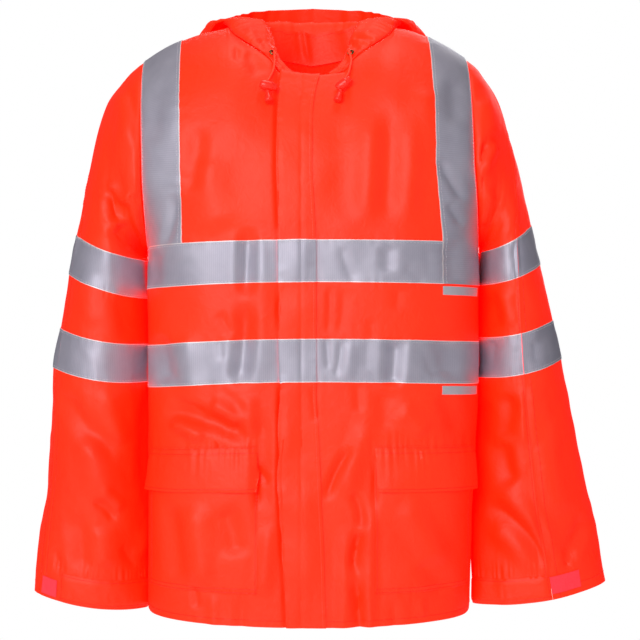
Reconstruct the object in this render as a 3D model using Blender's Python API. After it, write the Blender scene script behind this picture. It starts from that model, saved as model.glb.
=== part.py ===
"""Hi-vis work jacket with a lowered hood, hollow and in its worn shape. Metres, +Z up.

The origin is at the base of the wearer's neck. The front faces -Y and the wearer's right is -X.
Every piece of cloth is a closed wall that follows one of three surfaces: the torso, a sleeve or the hood.
What lies on a panel is made from that panel's own points, moved out.
"""

import math

import bmesh
import bpy
import numpy as np
from mathutils import Matrix, Vector

RIGHT, LEFT = -1, 1
FRONT, BACK = -1, 1
SIDE_NAME = {RIGHT: "right", LEFT: "left"}
FACE_NAME = {FRONT: "front", BACK: "back"}

WALL = 0.0016
TRIM_WALL = 0.0011
SEAM = 0.0003

NECK_HALF_WIDTH = 0.101
NECK_HALF_DEPTH = 0.100
NECK_CENTRE_Y = -0.005
BRACE_INNER = 0.152
EDGE = 0.200
BRACE_SHOWN = 0.0478
CHEST = -0.150
ARMPIT = -0.243
ARMHOLE_REACH = {FRONT: 0.70, BACK: 0.516}
ROUNDNESS = {FRONT: 0.58, BACK: 0.77}

FLAP_FREE_EDGE = 0.0384
FLAP_STITCH_EDGE = 0.012
FRONT_EDGE = 0.012
POCKET_EDGE = {RIGHT: 0.0625, LEFT: 0.073}
POCKET_SIDE = 0.184
HEM = -0.690
POCKET_BOTTOM = -0.6525
POCKET_TOP = -0.494
POCKET_FLAP_BOTTOM = -0.533
POCKET_FLAP_TOP = -0.480
LOWER_BAND = (-0.407, -0.357)
UPPER_BAND = (-0.292, -0.243)
LABEL_DROP = 0.0125
BAND_END = 0.003
BRACE_END = 0.0008
POCKET_PUFF = 0.0030
POCKET_CORNER_INSET = 0.002
POCKET_FLAP_OVERHANG = 0.001
FLAP_LIFT = (0.0072, 0.0066, 0.0012)

OUTER_COLUMNS = (0.0856, 0.0971, NECK_HALF_WIDTH, 0.1265, BRACE_INNER, 0.168, POCKET_SIDE, EDGE)
BACK_COLUMNS = (0.0, 0.034, 0.064) + OUTER_COLUMNS
BODY_ROWS = (
    HEM, POCKET_BOTTOM, -0.622, -0.592, -0.562, POCKET_FLAP_BOTTOM, -0.507, POCKET_FLAP_TOP,
    -0.456, -0.431, LOWER_BAND[0], -0.382, LOWER_BAND[1], -0.330, -0.3045, UPPER_BAND[0],
    -0.2675, ARMPIT, -0.238, -0.225, -0.200, -0.175, CHEST, -0.120, -0.090, -0.060, -0.030,
    -0.0075, 0.0,
)
ARMHOLE_ROWS = tuple(reversed([row for row in BODY_ROWS if row >= ARMPIT]))

SLEEVE_UPPER_BAND = {RIGHT: (-0.279, -0.232), LEFT: (-0.2677, -0.2206)}
SLEEVE_LOWER_BAND = {RIGHT: (-0.3915, -0.344), LEFT: (-0.3819, -0.3343)}
CUFF_TAB = {RIGHT: (-0.658, -0.626), LEFT: (-0.647, -0.619)}
CUFF_PATCH = {RIGHT: (-0.6565, -0.6365), LEFT: (-0.642, -0.622)}

COLLAR_TURNS = (100, 260)
COLLAR_RISE = 0.037
COLLAR_FOOT = -0.003
COLLAR_INSET = 0.0028
COLLAR_LEAN = 0.10
COLLAR_WALL = 0.0013

HOOD_COLUMNS_A_SIDE = 18
HOOD_ROWS = 15
EYELET_TURN = 31
EYELET_PLACE = 0.42
EYELET_RADIUS = 0.0036
EYELET_WIRE = 0.0010
EYELET_LIFT = 0.0013
CORD_RADIUS = 0.00125
CORD_CLEARANCE = 0.0022
CORD_POINTS = 14
CORD_END_SLANT = 1.6
TOGGLE_LENGTH = 0.0200
TOGGLE_RADIUS = 0.0058
TOGGLE_CLEARANCE = 0.003
END_LENGTH = 0.0150
END_RADII = (0.0048, 0.0026)

FINE = 1e-4
SIDE_FADE = 0.035
TOP_FADE = 0.050
ARMHOLE_FADE = 0.045
CUFF_FADE = 0.030


def table(names, *rows):
    """A table whose first column says where each row lies."""
    return {name: [row[k] for row in rows] for k, name in enumerate(names.split())}


# Heights up the body: the side seam's or armhole's place on each side, the depth in front and behind,
# and how far the cloth's level lines sink towards each side.
TORSO = table(
    "height right left front back sink_right sink_left",
    (HEM, 0.196, 0.188, 0.148, 0.146, -0.010, -0.010),
    (-0.560, 0.195, 0.192, 0.151, 0.148, 0.001, 0.000),
    (-0.400, 0.195, 0.199, 0.154, 0.150, 0.009, 0.004),
    (ARMPIT, 0.197, 0.1995, 0.155, 0.148, 0.006, 0.002),
    (-0.238, 0.1972, 0.1990, 0.155, 0.148, 0.005, 0.001),
    (-0.225, 0.1975, 0.1975, 0.155, 0.148, 0.004, 0.001),
    (-0.200, 0.198, 0.1955, 0.154, 0.148, 0.002, 0.000),
    (-0.175, 0.199, 0.193, 0.153, 0.147, 0.001, 0.000),
    (CHEST, 0.1995, 0.191, 0.151, 0.146, 0.000, 0.000),
    (-0.090, 0.202, 0.189, 0.151, 0.146, 0.000, 0.000),
    (0.000, 0.205, 0.186, 0.151, 0.146, 0.000, 0.000),
)

# Round the neck seam from the front centre, 0, to the back centre, 180.
NECK = table(
    "turn height",
    (0, -0.0492),
    (22, -0.0440),
    (28, -0.0300),
    (42, -0.0135),
    (65, 0.0050),
    (90, 0.0195),
    (120, 0.0150),
    (150, -0.0030),
    (180, -0.0120),
)

# Along the shoulder seam from the neck, 0, to the armhole, 1.
SHOULDER = table("along fall", (0.0, 0.0), (0.25, 0.14), (0.54, 0.375), (0.80, 0.69), (1.0, 1.0))
SHOULDER_TIP_HEIGHT = {RIGHT: -0.0205, LEFT: -0.0165}
SHOULDER_TIP_Y = 0.012

# Down each sleeve, by the height of its outer line: that line's distance from the centre, the inner
# line's distance and height, the middle and half depth from front to back, and the outer seam's turn.
SLEEVE = {
    RIGHT: table(
        "height out inside inside_height middle depth seam",
        (-0.0205, 0.2053, 0.1973, -0.2430, 0.004, 0.080, 0),
        (-0.037, 0.2230, 0.2000, -0.2460, 0.004, 0.086, 3),
        (-0.074, 0.2500, 0.2010, -0.2505, 0.003, 0.089, 8),
        (-0.152, 0.2695, 0.2010, -0.2565, 0.002, 0.090, 20),
        (-0.232, 0.2854, 0.2000, -0.2640, 0.000, 0.089, 30),
        (-0.279, 0.2945, 0.1990, -0.3100, -0.002, 0.087, 32),
        (-0.344, 0.3050, 0.1985, -0.3640, -0.005, 0.084, 33),
        (-0.3915, 0.3125, 0.1985, -0.4100, -0.008, 0.081, 34),
        (-0.510, 0.3180, 0.1985, -0.5290, -0.015, 0.070, 35),
        (-0.583, 0.3265, 0.1985, -0.6030, -0.022, 0.057, 35),
        (-0.660, 0.3340, 0.1990, -0.6800, -0.030, 0.046, 35),
    ),
    LEFT: table(
        "height out inside inside_height middle depth seam",
        (-0.0165, 0.1863, 0.1998, -0.2430, 0.004, 0.080, 0),
        (-0.032, 0.2030, 0.2020, -0.2445, 0.004, 0.086, 6),
        (-0.071, 0.2270, 0.2035, -0.2465, 0.003, 0.089, 18),
        (-0.127, 0.2430, 0.2038, -0.2490, 0.002, 0.090, 38),
        (-0.173, 0.2550, 0.2036, -0.2515, 0.001, 0.090, 58),
        (-0.2206, 0.2650, 0.2032, -0.2540, 0.000, 0.089, 76),
        (-0.2677, 0.2770, 0.2028, -0.2940, -0.002, 0.087, 84),
        (-0.3343, 0.2915, 0.2024, -0.3560, -0.005, 0.084, 90),
        (-0.3819, 0.3015, 0.2022, -0.4045, -0.008, 0.081, 92),
        (-0.531, 0.3310, 0.2020, -0.5530, -0.016, 0.068, 91),
        (-0.583, 0.3425, 0.2020, -0.6080, -0.022, 0.057, 88),
        (-0.649, 0.3530, 0.2025, -0.6755, -0.030, 0.046, 84),
    ),
}
SLEEVE_ROWS = {
    RIGHT: (
        -0.0205, -0.037, -0.055, -0.080, -0.115, -0.155, -0.194, -0.232, -0.2555, -0.279, -0.311,
        -0.344, -0.3675, -0.3915, -0.430, -0.470, -0.510, -0.547, -0.583, -0.605, CUFF_TAB[RIGHT][1], -0.660,
    ),
    LEFT: (
        -0.0165, -0.032, -0.050, -0.076, -0.110, -0.147, -0.184, -0.2206, -0.244, -0.2677, -0.301,
        -0.3343, -0.358, -0.3819, -0.420, -0.460, -0.500, -0.541, -0.583, -0.602, CUFF_TAB[LEFT][1], -0.649,
    ),
}
SLEEVE_SAG = 0.006
CAP_BLEND = 0.110

# The hood's profile at each turn round the neck: how far out of the neck seam, and how high, its cloth
# crests, lies against the back, folds at the bag's bottom, bellies out and ends in the face edge.
HOOD = table(
    "turn crest_out crest_z lie_out lie_z fold_out fold_z belly_out belly_z rim_out rim_z",
    (12, 0.000, -0.0405, -0.001, -0.0395, -0.001, -0.0385, -0.002, -0.0375, -0.002, -0.0365),
    (24, -0.002, -0.0365, -0.005, -0.0345, -0.008, -0.0325, -0.011, -0.0305, -0.014, -0.0290),
    (35, -0.004, -0.0170, -0.010, -0.0140, -0.015, -0.0125, -0.021, -0.0120, -0.027, -0.0120),
    (48, -0.005, -0.0020, -0.014, 0.0020, -0.022, 0.0030, -0.031, 0.0030, -0.040, 0.0020),
    (62, -0.005, 0.0090, -0.015, 0.0130, -0.025, 0.0150, -0.035, 0.0160, -0.045, 0.0145),
    (76, -0.004, 0.0190, -0.013, 0.0240, -0.023, 0.0265, -0.034, 0.0270, -0.045, 0.0250),
    (88, 0.001, 0.0260, -0.001, 0.0300, -0.005, 0.0320, -0.011, 0.0325, -0.018, 0.0310),
    (100, 0.006, 0.0270, 0.011, 0.0295, 0.017, 0.0280, 0.019, 0.0300, 0.012, 0.0345),
    (112, 0.012, 0.0290, 0.024, 0.0270, 0.039, 0.0150, 0.044, 0.0230, 0.033, 0.0350),
    (125, 0.013, 0.0330, 0.036, 0.0160, 0.070, -0.0130, 0.084, 0.0050, 0.037, 0.0410),
    (140, 0.013, 0.0380, 0.060, -0.0450, 0.092, -0.1400, 0.118, -0.0650, 0.046, 0.0520),
    (160, 0.014, 0.0410, 0.050, -0.0750, 0.084, -0.1950, 0.120, -0.1050, 0.062, 0.0635),
    (180, 0.014, 0.0420, 0.048, -0.0800, 0.076, -0.2050, 0.112, -0.1200, 0.068, 0.0680),
)
HOOD_STATIONS = ("crest", "lie", "fold", "belly", "rim")
HOOD_PLACES = (0.0, 0.17, 0.35, 0.52, 0.70, 1.0)
HOOD_CORNER = {RIGHT: 12.5, LEFT: 12.0}
HOOD_FOOT_RISE = 0.0016
HOOD_CORNER_RISE = 0.0040

# Creases, as straight lines in the panel's own view: from, to, how wide, and how far out they stand.
FRONT_FOLDS = (
    (-0.150, -0.440, -0.075, -0.470, 0.022, 0.0050),
    (-0.078, -0.300, -0.092, -0.450, 0.014, -0.0045),
    (-0.055, -0.250, -0.066, -0.345, 0.016, 0.0035),
    (-0.125, -0.100, -0.100, -0.235, 0.026, 0.0040),
    (-0.165, -0.500, -0.160, -0.640, 0.018, -0.0040),
    (-0.110, -0.600, -0.095, -0.690, 0.026, 0.0060),
    (0.030, -0.345, 0.035, -0.420, 0.014, -0.0040),
    (0.045, -0.480, 0.015, -0.545, 0.016, -0.0045),
    (0.055, -0.530, 0.052, -0.690, 0.017, 0.0060),
    (0.080, -0.300, 0.085, -0.430, 0.015, 0.0040),
    (0.150, -0.300, 0.140, -0.450, 0.016, -0.0040),
    (0.120, -0.110, 0.105, -0.230, 0.026, 0.0040),
    (0.130, -0.560, 0.135, -0.690, 0.024, 0.0050),
)
BACK_FOLDS = (
    (-0.060, -0.230, -0.085, -0.420, 0.022, 0.0050),
    (0.065, -0.250, 0.090, -0.450, 0.022, 0.0050),
    (-0.135, -0.260, -0.145, -0.520, 0.017, -0.0045),
    (0.140, -0.240, 0.130, -0.500, 0.018, -0.0045),
    (0.000, -0.440, -0.010, -0.690, 0.028, 0.0060),
    (-0.100, -0.500, -0.110, -0.690, 0.026, 0.0060),
    (0.105, -0.480, 0.100, -0.690, 0.026, 0.0060),
    (-0.050, -0.420, -0.050, -0.600, 0.016, -0.0035),
    (0.052, -0.430, 0.055, -0.640, 0.016, -0.0035),
)
# On a sleeve the same, by turn in degrees and height on the outer line.
SLEEVE_FOLDS = {
    RIGHT: (
        (75, -0.090, 110, -0.190, 0.016, -0.0050),
        (60, -0.100, 85, -0.200, 0.018, 0.0040),
        (50, -0.400, 120, -0.490, 0.018, -0.0050),
        (45, -0.440, 105, -0.540, 0.020, 0.0050),
        (150, -0.420, 155, -0.580, 0.018, -0.0045),
        (-60, -0.120, -110, -0.210, 0.018, -0.0050),
        (-40, -0.380, -120, -0.470, 0.020, -0.0050),
        (-30, -0.430, -110, -0.530, 0.020, 0.0050),
    ),
    LEFT: (
        (60, -0.080, 100, -0.105, 0.014, -0.0045),
        (70, -0.110, 120, -0.190, 0.018, 0.0040),
        (60, -0.380, 130, -0.470, 0.020, 0.0050),
        (135, -0.400, 110, -0.520, 0.018, -0.0050),
        (45, -0.500, 80, -0.580, 0.018, -0.0040),
        (-60, -0.110, -110, -0.200, 0.018, -0.0050),
        (-35, -0.360, -115, -0.450, 0.020, -0.0050),
        (-30, -0.420, -105, -0.520, 0.020, 0.0050),
    ),
}
METRES_A_DEGREE = 0.00100
TURN_STEP = 0.1

# Drawcord by side: its route below the eyelet in the front view, its toggle, the toggle's lean, and how
# far to the side its end piece lies under the toggle.
CORDS = {
    RIGHT: {
        "route": ((-0.0455, -0.0335), (-0.0458, -0.0410), (-0.0475, -0.0500)),
        "toggle": (-0.0520, -0.0682),
        "lean": -0.12,
        "aside": -0.0020,
    },
    LEFT: {
        "route": ((0.0475, -0.0330), (0.0465, -0.0410), (0.0452, -0.0480)),
        "toggle": (0.0415, -0.0650),
        "lean": 0.55,
        "aside": -0.0015,
    },
}

FINISH = {
    "cloth": ((1.0, 0.045, 0.012), 0.55, 0.0),
    "tape": ((0.55, 0.53, 0.60), 0.40, 0.35),
    "loop": ((1.0, 0.060, 0.080), 0.90, 0.0),
    "label": ((0.72, 0.70, 0.74), 0.60, 0.0),
    "brass": ((0.20, 0.12, 0.06), 0.35, 0.9),
    "cord": ((1.0, 0.110, 0.060), 0.70, 0.0),
    "plastic": ((1.0, 0.060, 0.040), 0.40, 0.0),
}


def curve(at, places, values):
    """A smooth curve through the values that never overshoots them."""
    order = np.argsort(places)
    x = np.asarray(places, float)[order]
    y = np.asarray(values, float)[order]
    step = np.diff(x)
    slope = np.diff(y) / step
    alike = slope[:-1] * slope[1:] > 0
    total = np.where(alike, slope[:-1] + slope[1:], 1.0)
    inner = np.where(alike, 2 * slope[:-1] * slope[1:] / total, 0.0)
    lean = np.concatenate([slope[:1], inner, slope[-1:]])
    i = np.clip(np.searchsorted(x, at) - 1, 0, len(step) - 1)
    t = np.clip((at - x[i]) / step[i], 0.0, 1.0)
    start = y[i] * (1 + 2 * t) + lean[i] * step[i] * t
    end = y[i + 1] * (3 - 2 * t) + lean[i + 1] * step[i] * (t - 1)
    return start * (1 - t) ** 2 + end * t * t


def read(rows, name, at):
    return curve(at, rows[next(iter(rows))], rows[name])


def smooth_step(value):
    t = np.clip(value, 0.0, 1.0)
    return t * t * (3 - 2 * t)


def facing(surface, u, v, outward, step=FINE):
    """The surface's unit normal; outward is 1 or -1, for whichever way its grid turns."""
    along = surface(np.add(u, step), v) - surface(np.subtract(u, step), v)
    up = surface(u, np.add(v, FINE)) - surface(u, np.subtract(v, FINE))
    normal = np.cross(along, up)
    return outward * normal / np.linalg.norm(normal, axis=-1, keepdims=True)


def relief(folds, x, z):
    """How far the creases lift the cloth at a place in the panel's view."""
    height = np.zeros(np.broadcast(x, z).shape)
    for x0, z0, x1, z1, reach, rise in folds:
        dx, dz = x1 - x0, z1 - z0
        t = np.clip(((x - x0) * dx + (z - z0) * dz) / (dx * dx + dz * dz), 0.0, 1.0)
        far = np.hypot(x - x0 - t * dx, z - z0 - t * dz)
        height = height + rise * np.exp(-((far / reach) ** 2))
    return height


def neck_seam(face, x):
    """The neck seam's y and z at a distance from the centre line."""
    turn = np.arcsin(np.clip(np.abs(x) / NECK_HALF_WIDTH, 0.0, 1.0))
    y = NECK_CENTRE_Y + face * NECK_HALF_DEPTH * np.cos(turn)
    degrees = np.degrees(turn)
    return y, read(NECK, "height", degrees if face == FRONT else 180 - degrees)


def side_turn(face, height):
    """How far round its ring a level ends: a quarter at the side seam, less where the armhole cuts in."""
    up = np.clip((height - ARMPIT) / (CHEST - ARMPIT), 0.0, 1.0)
    reach = ARMHOLE_REACH[face] * np.sqrt(1 - (1 - up) ** 2)
    return np.arccos(reach ** (1 / ROUNDNESS[face]))


def plain_torso(side, face, across, height):
    """The torso before its creases. Across runs from the centre line to EDGE, at the side or armhole."""
    across, height = np.broadcast_arrays(np.asarray(across, float), np.asarray(height, float))
    low = np.minimum(height, CHEST)
    roundness = ROUNDNESS[face]
    turn = side_turn(face, low)
    edge_low = read(TORSO, SIDE_NAME[side], low)
    edge = read(TORSO, SIDE_NAME[side], height)
    half_width = edge_low / np.sin(turn) ** roundness
    depth = read(TORSO, FACE_NAME[face], low)

    to_brace = (across - NECK_HALF_WIDTH) / (BRACE_INNER - NECK_HALF_WIDTH)
    past_brace = np.maximum((across - BRACE_INNER) / (EDGE - BRACE_INNER), 0.0)

    def inner_x(outer):
        reach = NECK_HALF_WIDTH + to_brace * (outer - BRACE_SHOWN - NECK_HALF_WIDTH)
        return np.where(across <= NECK_HALF_WIDTH, across, reach)

    brace_low = edge_low - BRACE_SHOWN
    brace_turn = np.arcsin(np.clip(brace_low / half_width, 0, 1) ** (1 / roundness))
    ring_turn = brace_turn + past_brace * (turn - brace_turn)
    ring_x = half_width * np.abs(np.sin(ring_turn)) ** roundness
    x_low = np.where(across > BRACE_INNER, ring_x, inner_x(edge_low))
    share = np.clip(np.abs(x_low) / half_width, 0, 1) ** (1 / roundness)
    bow = np.sqrt(1 - share**2) ** roundness
    turned = np.sign(np.cos(ring_turn)) * np.abs(np.cos(ring_turn)) ** roundness
    y_low = face * depth * np.where(across > BRACE_INNER, turned, bow)

    spread = np.where(across > BRACE_INNER, (ring_x - brace_low) / BRACE_SHOWN, 0.0)
    x_high = np.where(across > BRACE_INNER, edge - BRACE_SHOWN + spread * BRACE_SHOWN, inner_x(edge))
    tip = read(TORSO, SIDE_NAME[side], 0.0)
    x_top = np.where(
        across > BRACE_INNER, tip - BRACE_SHOWN + spread * BRACE_SHOWN, inner_x(tip)
    )
    neck_y, neck_z = neck_seam(face, x_top)
    along = np.clip((x_top - NECK_HALF_WIDTH) / (tip - NECK_HALF_WIDTH), 0.0, 1.1)
    neck_side = read(NECK, "height", 90.0)
    fall = neck_side - SHOULDER_TIP_HEIGHT[side]
    on_neck = x_top <= NECK_HALF_WIDTH
    top_y = np.where(on_neck, neck_y, NECK_CENTRE_Y + along * (SHOULDER_TIP_Y - NECK_CENTRE_Y))
    top_z = np.where(on_neck, neck_z, neck_side - fall * read(SHOULDER, "fall", along))

    climb = np.maximum((height - CHEST) / -CHEST, 0.0)
    arc = climb * np.pi / 2
    round_share = 0.2 + 0.8 * smooth_step((np.abs(x_top) - 0.04) / 0.065)
    back_share = round_share * (1 - np.cos(arc)) + (1 - round_share) * climb**1.3
    up_share = round_share * np.sin(arc) + (1 - round_share) * climb
    sink = read(TORSO, "sink_" + SIDE_NAME[side], height) * (np.abs(x_low) / EDGE) ** 2
    x = side * np.where(height > CHEST, x_high, x_low)
    y = y_low + (top_y - y_low) * back_share
    z = low - sink + (top_z - CHEST) * up_share
    return np.stack([x, y, z], axis=-1)


def torso(side, face, across, height):
    """The torso's outer face with its creases, which fade at the side and top seams."""

    def plain(u, v):
        return plain_torso(side, face, u, v)

    points = plain(across, height)
    folds = FRONT_FOLDS if face == FRONT else BACK_FOLDS
    lift = relief(folds, points[..., 0], points[..., 2])
    at_side = smooth_step((EDGE - np.asarray(across, float)) / SIDE_FADE)
    at_top = smooth_step(-np.asarray(height, float) / TOP_FADE)
    normal = facing(plain, across, height, -side * face)
    return points + normal * (lift * at_side * at_top)[..., None]


def armhole(side, turn):
    """The armhole's edge at a turn in degrees: 0 at the shoulder tip, 180 under the arm, minus behind."""
    turn = (np.asarray(turn, float) + 180) % 360 - 180
    height = ARMPIT * (1 - np.cos(np.radians(turn))) / 2
    front = plain_torso(side, FRONT, EDGE, height)
    back = plain_torso(side, BACK, EDGE, height)
    edge = np.where(turn[..., None] >= 0, front, back)
    return edge + np.array([side * SEAM, 0, 0])


def plain_sleeve(side, turn, height):
    """A sleeve before its creases, with its cap let into the armhole."""
    turn, height = np.broadcast_arrays(np.asarray(turn, float), np.asarray(height, float))
    rows = SLEEVE[side]

    def section(at):
        out, inside = read(rows, "out", at), read(rows, "inside", at)
        inside_height = read(rows, "inside_height", at)
        over, ahead = np.cos(np.radians(turn)), np.sin(np.radians(turn))
        x = side * ((out + inside) / 2 + over * (out - inside) / 2)
        y = read(rows, "middle", at) - ahead * read(rows, "depth", at)
        z = (at + inside_height) / 2 + over * (at - inside_height) / 2 - SLEEVE_SAG * ahead**2
        return np.stack([x, y, z], axis=-1)

    top = np.full(turn.shape, rows["height"][0])
    drop = section(top)
    still = 1 - smooth_step((top - height) / CAP_BLEND)
    return section(height) + (armhole(side, turn) - drop) * still[..., None]


def sleeve(side, turn, height):
    """A sleeve's outer face with its creases, which fade at the armhole and the cuff."""

    def plain(u, v):
        return plain_sleeve(side, u, v)

    lift = relief(
        [(a * METRES_A_DEGREE, b, c * METRES_A_DEGREE, d, e, f) for a, b, c, d, e, f in SLEEVE_FOLDS[side]],
        np.asarray(turn, float) * METRES_A_DEGREE,
        np.asarray(height, float),
    )
    top, cuff = SLEEVE[side]["height"][0], SLEEVE[side]["height"][-1]
    fade = smooth_step((top - height) / ARMHOLE_FADE) * smooth_step((height - cuff) / CUFF_FADE)
    normal = facing(plain, turn, np.minimum(height, top - 2 * FINE), -side, TURN_STEP)
    return plain(turn, height) + normal * (lift * fade)[..., None]


def sleeve_normal(side, turn, height):
    def surface(u, v):
        return sleeve(side, u, v)

    top = SLEEVE[side]["height"][0]
    return facing(surface, turn, np.minimum(height, top - 2 * FINE), -side, TURN_STEP)


def hood(turn, place):
    """The hood's outside. Its turn in degrees is 0 in front, 180 behind and minus on the right."""
    turn, place = np.broadcast_arrays(np.asarray(turn, float), np.asarray(place, float))
    side = np.where(turn < 0, -1.0, 1.0)
    size = np.abs(turn)
    angle = np.radians(size)
    foot_x = NECK_HALF_WIDTH * np.sin(angle)
    foot_y = NECK_CENTRE_Y - NECK_HALF_DEPTH * np.cos(angle)
    corner_rise = HOOD_CORNER_RISE * smooth_step((28 - size) / 16)
    foot_z = read(NECK, "height", size) + HOOD_FOOT_RISE + corner_rise
    outs = [np.zeros(size.shape)] + [read(HOOD, name + "_out", size) for name in HOOD_STATIONS]
    heights = [foot_z] + [read(HOOD, name + "_z", size) for name in HOOD_STATIONS]
    out = np.empty(size.shape)
    height = np.empty(size.shape)
    for k in np.ndindex(size.shape):
        out[k] = curve(place[k], HOOD_PLACES, [column[k] for column in outs])
        height[k] = curve(place[k], HOOD_PLACES, [column[k] for column in heights])
    x = side * (foot_x + out * np.sin(angle))
    return np.stack([x, foot_y - out * np.cos(angle), height], axis=-1)


def paint(obj, name, colour, roughness, metallic=0.0):
    material = bpy.data.materials.get(name) or bpy.data.materials.new(name)
    material.use_nodes = True
    shader = material.node_tree.nodes["Principled BSDF"]
    shader.inputs["Base Color"].default_value = (*colour, 1)
    shader.inputs["Roughness"].default_value = roughness
    shader.inputs["Metallic"].default_value = metallic
    obj.data.materials.append(material)


def finish(mesh_maker, name, kind):
    """Makes a bmesh into a named object with its own material, faces pointing out."""
    bmesh.ops.recalc_face_normals(mesh_maker, faces=mesh_maker.faces)
    mesh = bpy.data.meshes.new(name)
    mesh_maker.to_mesh(mesh)
    mesh_maker.free()
    obj = bpy.data.objects.new(name, mesh)
    bpy.context.scene.collection.objects.link(obj)
    mesh.shade_smooth()
    colour, roughness, metallic = FINISH[kind]
    paint(obj, name + "_" + kind, colour, roughness, metallic)
    return obj


def wall(name, kind, outer, inner, split_from=None):
    """A closed wall of cloth between two grids of points of the same size.

    From the row split_from on, each square is cut along its other diagonal, as the panel beneath is.
    """
    rows, columns = outer.shape[:2]
    bm = bmesh.new()
    mark = bm.verts.layers.int.new("place")
    bmesh.ops.create_grid(bm, x_segments=columns - 1, y_segments=rows - 1, size=0.5)
    for vertex in bm.verts:
        column = round((vertex.co.x + 0.5) * (columns - 1))
        row = round((vertex.co.y + 0.5) * (rows - 1))
        vertex[mark] = row * columns + column
    if split_from is not None:
        turned = [face for face in bm.faces if min(v[mark] for v in face.verts) >= split_from * columns]
        bmesh.ops.triangulate(bm, faces=turned, quad_method="ALTERNATE")
    made = bmesh.ops.extrude_face_region(bm, geom=bm.faces[:], use_keep_orig=True)
    behind = {item for item in made["geom"] if isinstance(item, bmesh.types.BMVert)}
    flat = {True: inner.reshape(-1, 3), False: outer.reshape(-1, 3)}
    for vertex in bm.verts:
        vertex.co = flat[vertex in behind][vertex[mark]]
    return finish(bm, name, kind)


def on_top(name, kind, points, normals, lift, thickness=TRIM_WALL, split_from=None):
    """A strip of cloth that lies on a panel, lifted off its points."""
    lift = np.broadcast_to(np.asarray(lift, float), points.shape[:2])[..., None]
    outer, inner = points + normals * (lift + thickness), points + normals * lift
    return wall(name, kind, outer, inner, split_from)


def grid(across, heights):
    return np.meshgrid(np.asarray(across, float), np.asarray(heights, float))


def torso_patch(side, face, across, heights):
    """Points and outward normals of a patch of the torso, half a seam clear of the other face."""
    u, v = grid(across, heights)

    def surface(a, b):
        return torso(side, face, a, b)

    shift = np.array([0, face * SEAM / 2, 0])
    return surface(u, v) + shift, facing(surface, u, v, -side * face)


def front_columns(side):
    start = FRONT_EDGE + SEAM / 2 if side == RIGHT else -FRONT_EDGE + SEAM / 2
    inner = (start, FLAP_FREE_EDGE) if side == RIGHT else (start, FLAP_STITCH_EDGE, FLAP_FREE_EDGE)
    return inner + (POCKET_EDGE[side],) + OUTER_COLUMNS


def mitre(side, face, normals):
    """Turns the wall's edge at the armhole half way to the sleeve's, where the two meet like a ridge."""
    for k, row in enumerate(BODY_ROWS):
        if row < ARMPIT:
            continue
        turn = np.degrees(np.arccos(1 - 2 * row / ARMPIT))
        beside = sleeve_normal(side, -face * turn, SLEEVE[side]["height"][0])
        if np.dot(beside, normals[k, -1]) > 0:
            both = beside + normals[k, -1]
            normals[k, -1] = both / np.linalg.norm(both)


def make_front(side):
    points, normals = torso_patch(side, FRONT, front_columns(side), BODY_ROWS)
    mitre(side, FRONT, normals)
    wall("front_" + SIDE_NAME[side], "cloth", points, points - normals * WALL)


def make_back():
    halves = {}
    for side in (RIGHT, LEFT):
        points, normals = torso_patch(side, BACK, BACK_COLUMNS, BODY_ROWS)
        mitre(side, BACK, normals)
        halves[side] = (points, normals)
    joined = [np.concatenate([halves[RIGHT][k][:, :0:-1], halves[LEFT][k]], axis=1) for k in (0, 1)]
    wall("back", "cloth", joined[0], joined[0] - joined[1] * WALL)


def sleeve_columns():
    """Turns as parts of the way from the outer seam to the inner one, matching the armhole's rows."""
    return np.degrees(np.arccos(np.clip(1 - 2 * np.array(ARMHOLE_ROWS) / ARMPIT, -1, 1))) / 180


def sleeve_patch(side, face, shares, heights):
    """Points and outward normals of a patch of one half of a sleeve."""
    share, height = grid(shares, heights)
    seam = read(SLEEVE[side], "seam", height)
    clear = np.degrees(SEAM / 2 / 0.055) * smooth_step((SLEEVE[side]["height"][0] - height) / 0.05)
    start, end = (seam + clear, 180 - clear) if face == FRONT else (seam - clear, -180 + clear)
    turn = start + (end - start) * share
    shift = np.array([0, face * SEAM / 2, 0])
    points = sleeve(side, turn, height) + shift * (1 - smooth_step(clear[..., None] / clear.max()))
    return points, sleeve_normal(side, turn, height)


def make_sleeve(side, face):
    shares = sleeve_columns()
    points, normals = sleeve_patch(side, face, shares, SLEEVE_ROWS[side])
    for k, row in enumerate(ARMHOLE_ROWS):
        panel = torso_patch(side, face, [EDGE], [row])[1][0, 0]
        if np.dot(panel, normals[0, k]) > 0:
            both = panel + normals[0, k]
            normals[0, k] = both / np.linalg.norm(both)
    name = "sleeve_" + SIDE_NAME[side] + "_" + FACE_NAME[face]
    wall(name, "cloth", points, points - normals * WALL)


def make_sleeve_band(side, face, span, place):
    shares = sleeve_columns()
    low, high = span
    points, normals = sleeve_patch(side, face, shares, (high, (low + high) / 2, low))
    name = "sleeve_band_" + place + "_" + SIDE_NAME[side] + "_" + FACE_NAME[face]
    on_top(name, "tape", points, normals, SEAM)


def cuff_strip(side, face, shares, span):
    """Points and normals of a strip between two heights, on the flat facets of the sleeve's last row."""
    rows = SLEEVE_ROWS[side][-2:]
    points, normals = sleeve_patch(side, face, shares, rows)
    along = [(height - rows[0]) / (rows[1] - rows[0]) for height in reversed(span)]
    return [np.stack([grid[0] + (grid[1] - grid[0]) * share for share in along]) for grid in (points, normals)]


def make_cuff(side):
    """The closing strap and, past its end, the loop patch, both at the sleeve's very end."""
    shares = sleeve_columns()
    strap = shares[2:-1] if side == RIGHT else shares[:-1]
    points, normals = cuff_strip(side, FRONT, strap, CUFF_TAB[side])
    on_top("cuff_tab_" + SIDE_NAME[side], "cloth", points, normals, SEAM, WALL)
    face = FRONT if side == RIGHT else BACK
    points, normals = cuff_strip(side, face, shares[:2], CUFF_PATCH[side])
    on_top("cuff_patch_" + SIDE_NAME[side], "loop", points, normals, SEAM)


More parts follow.
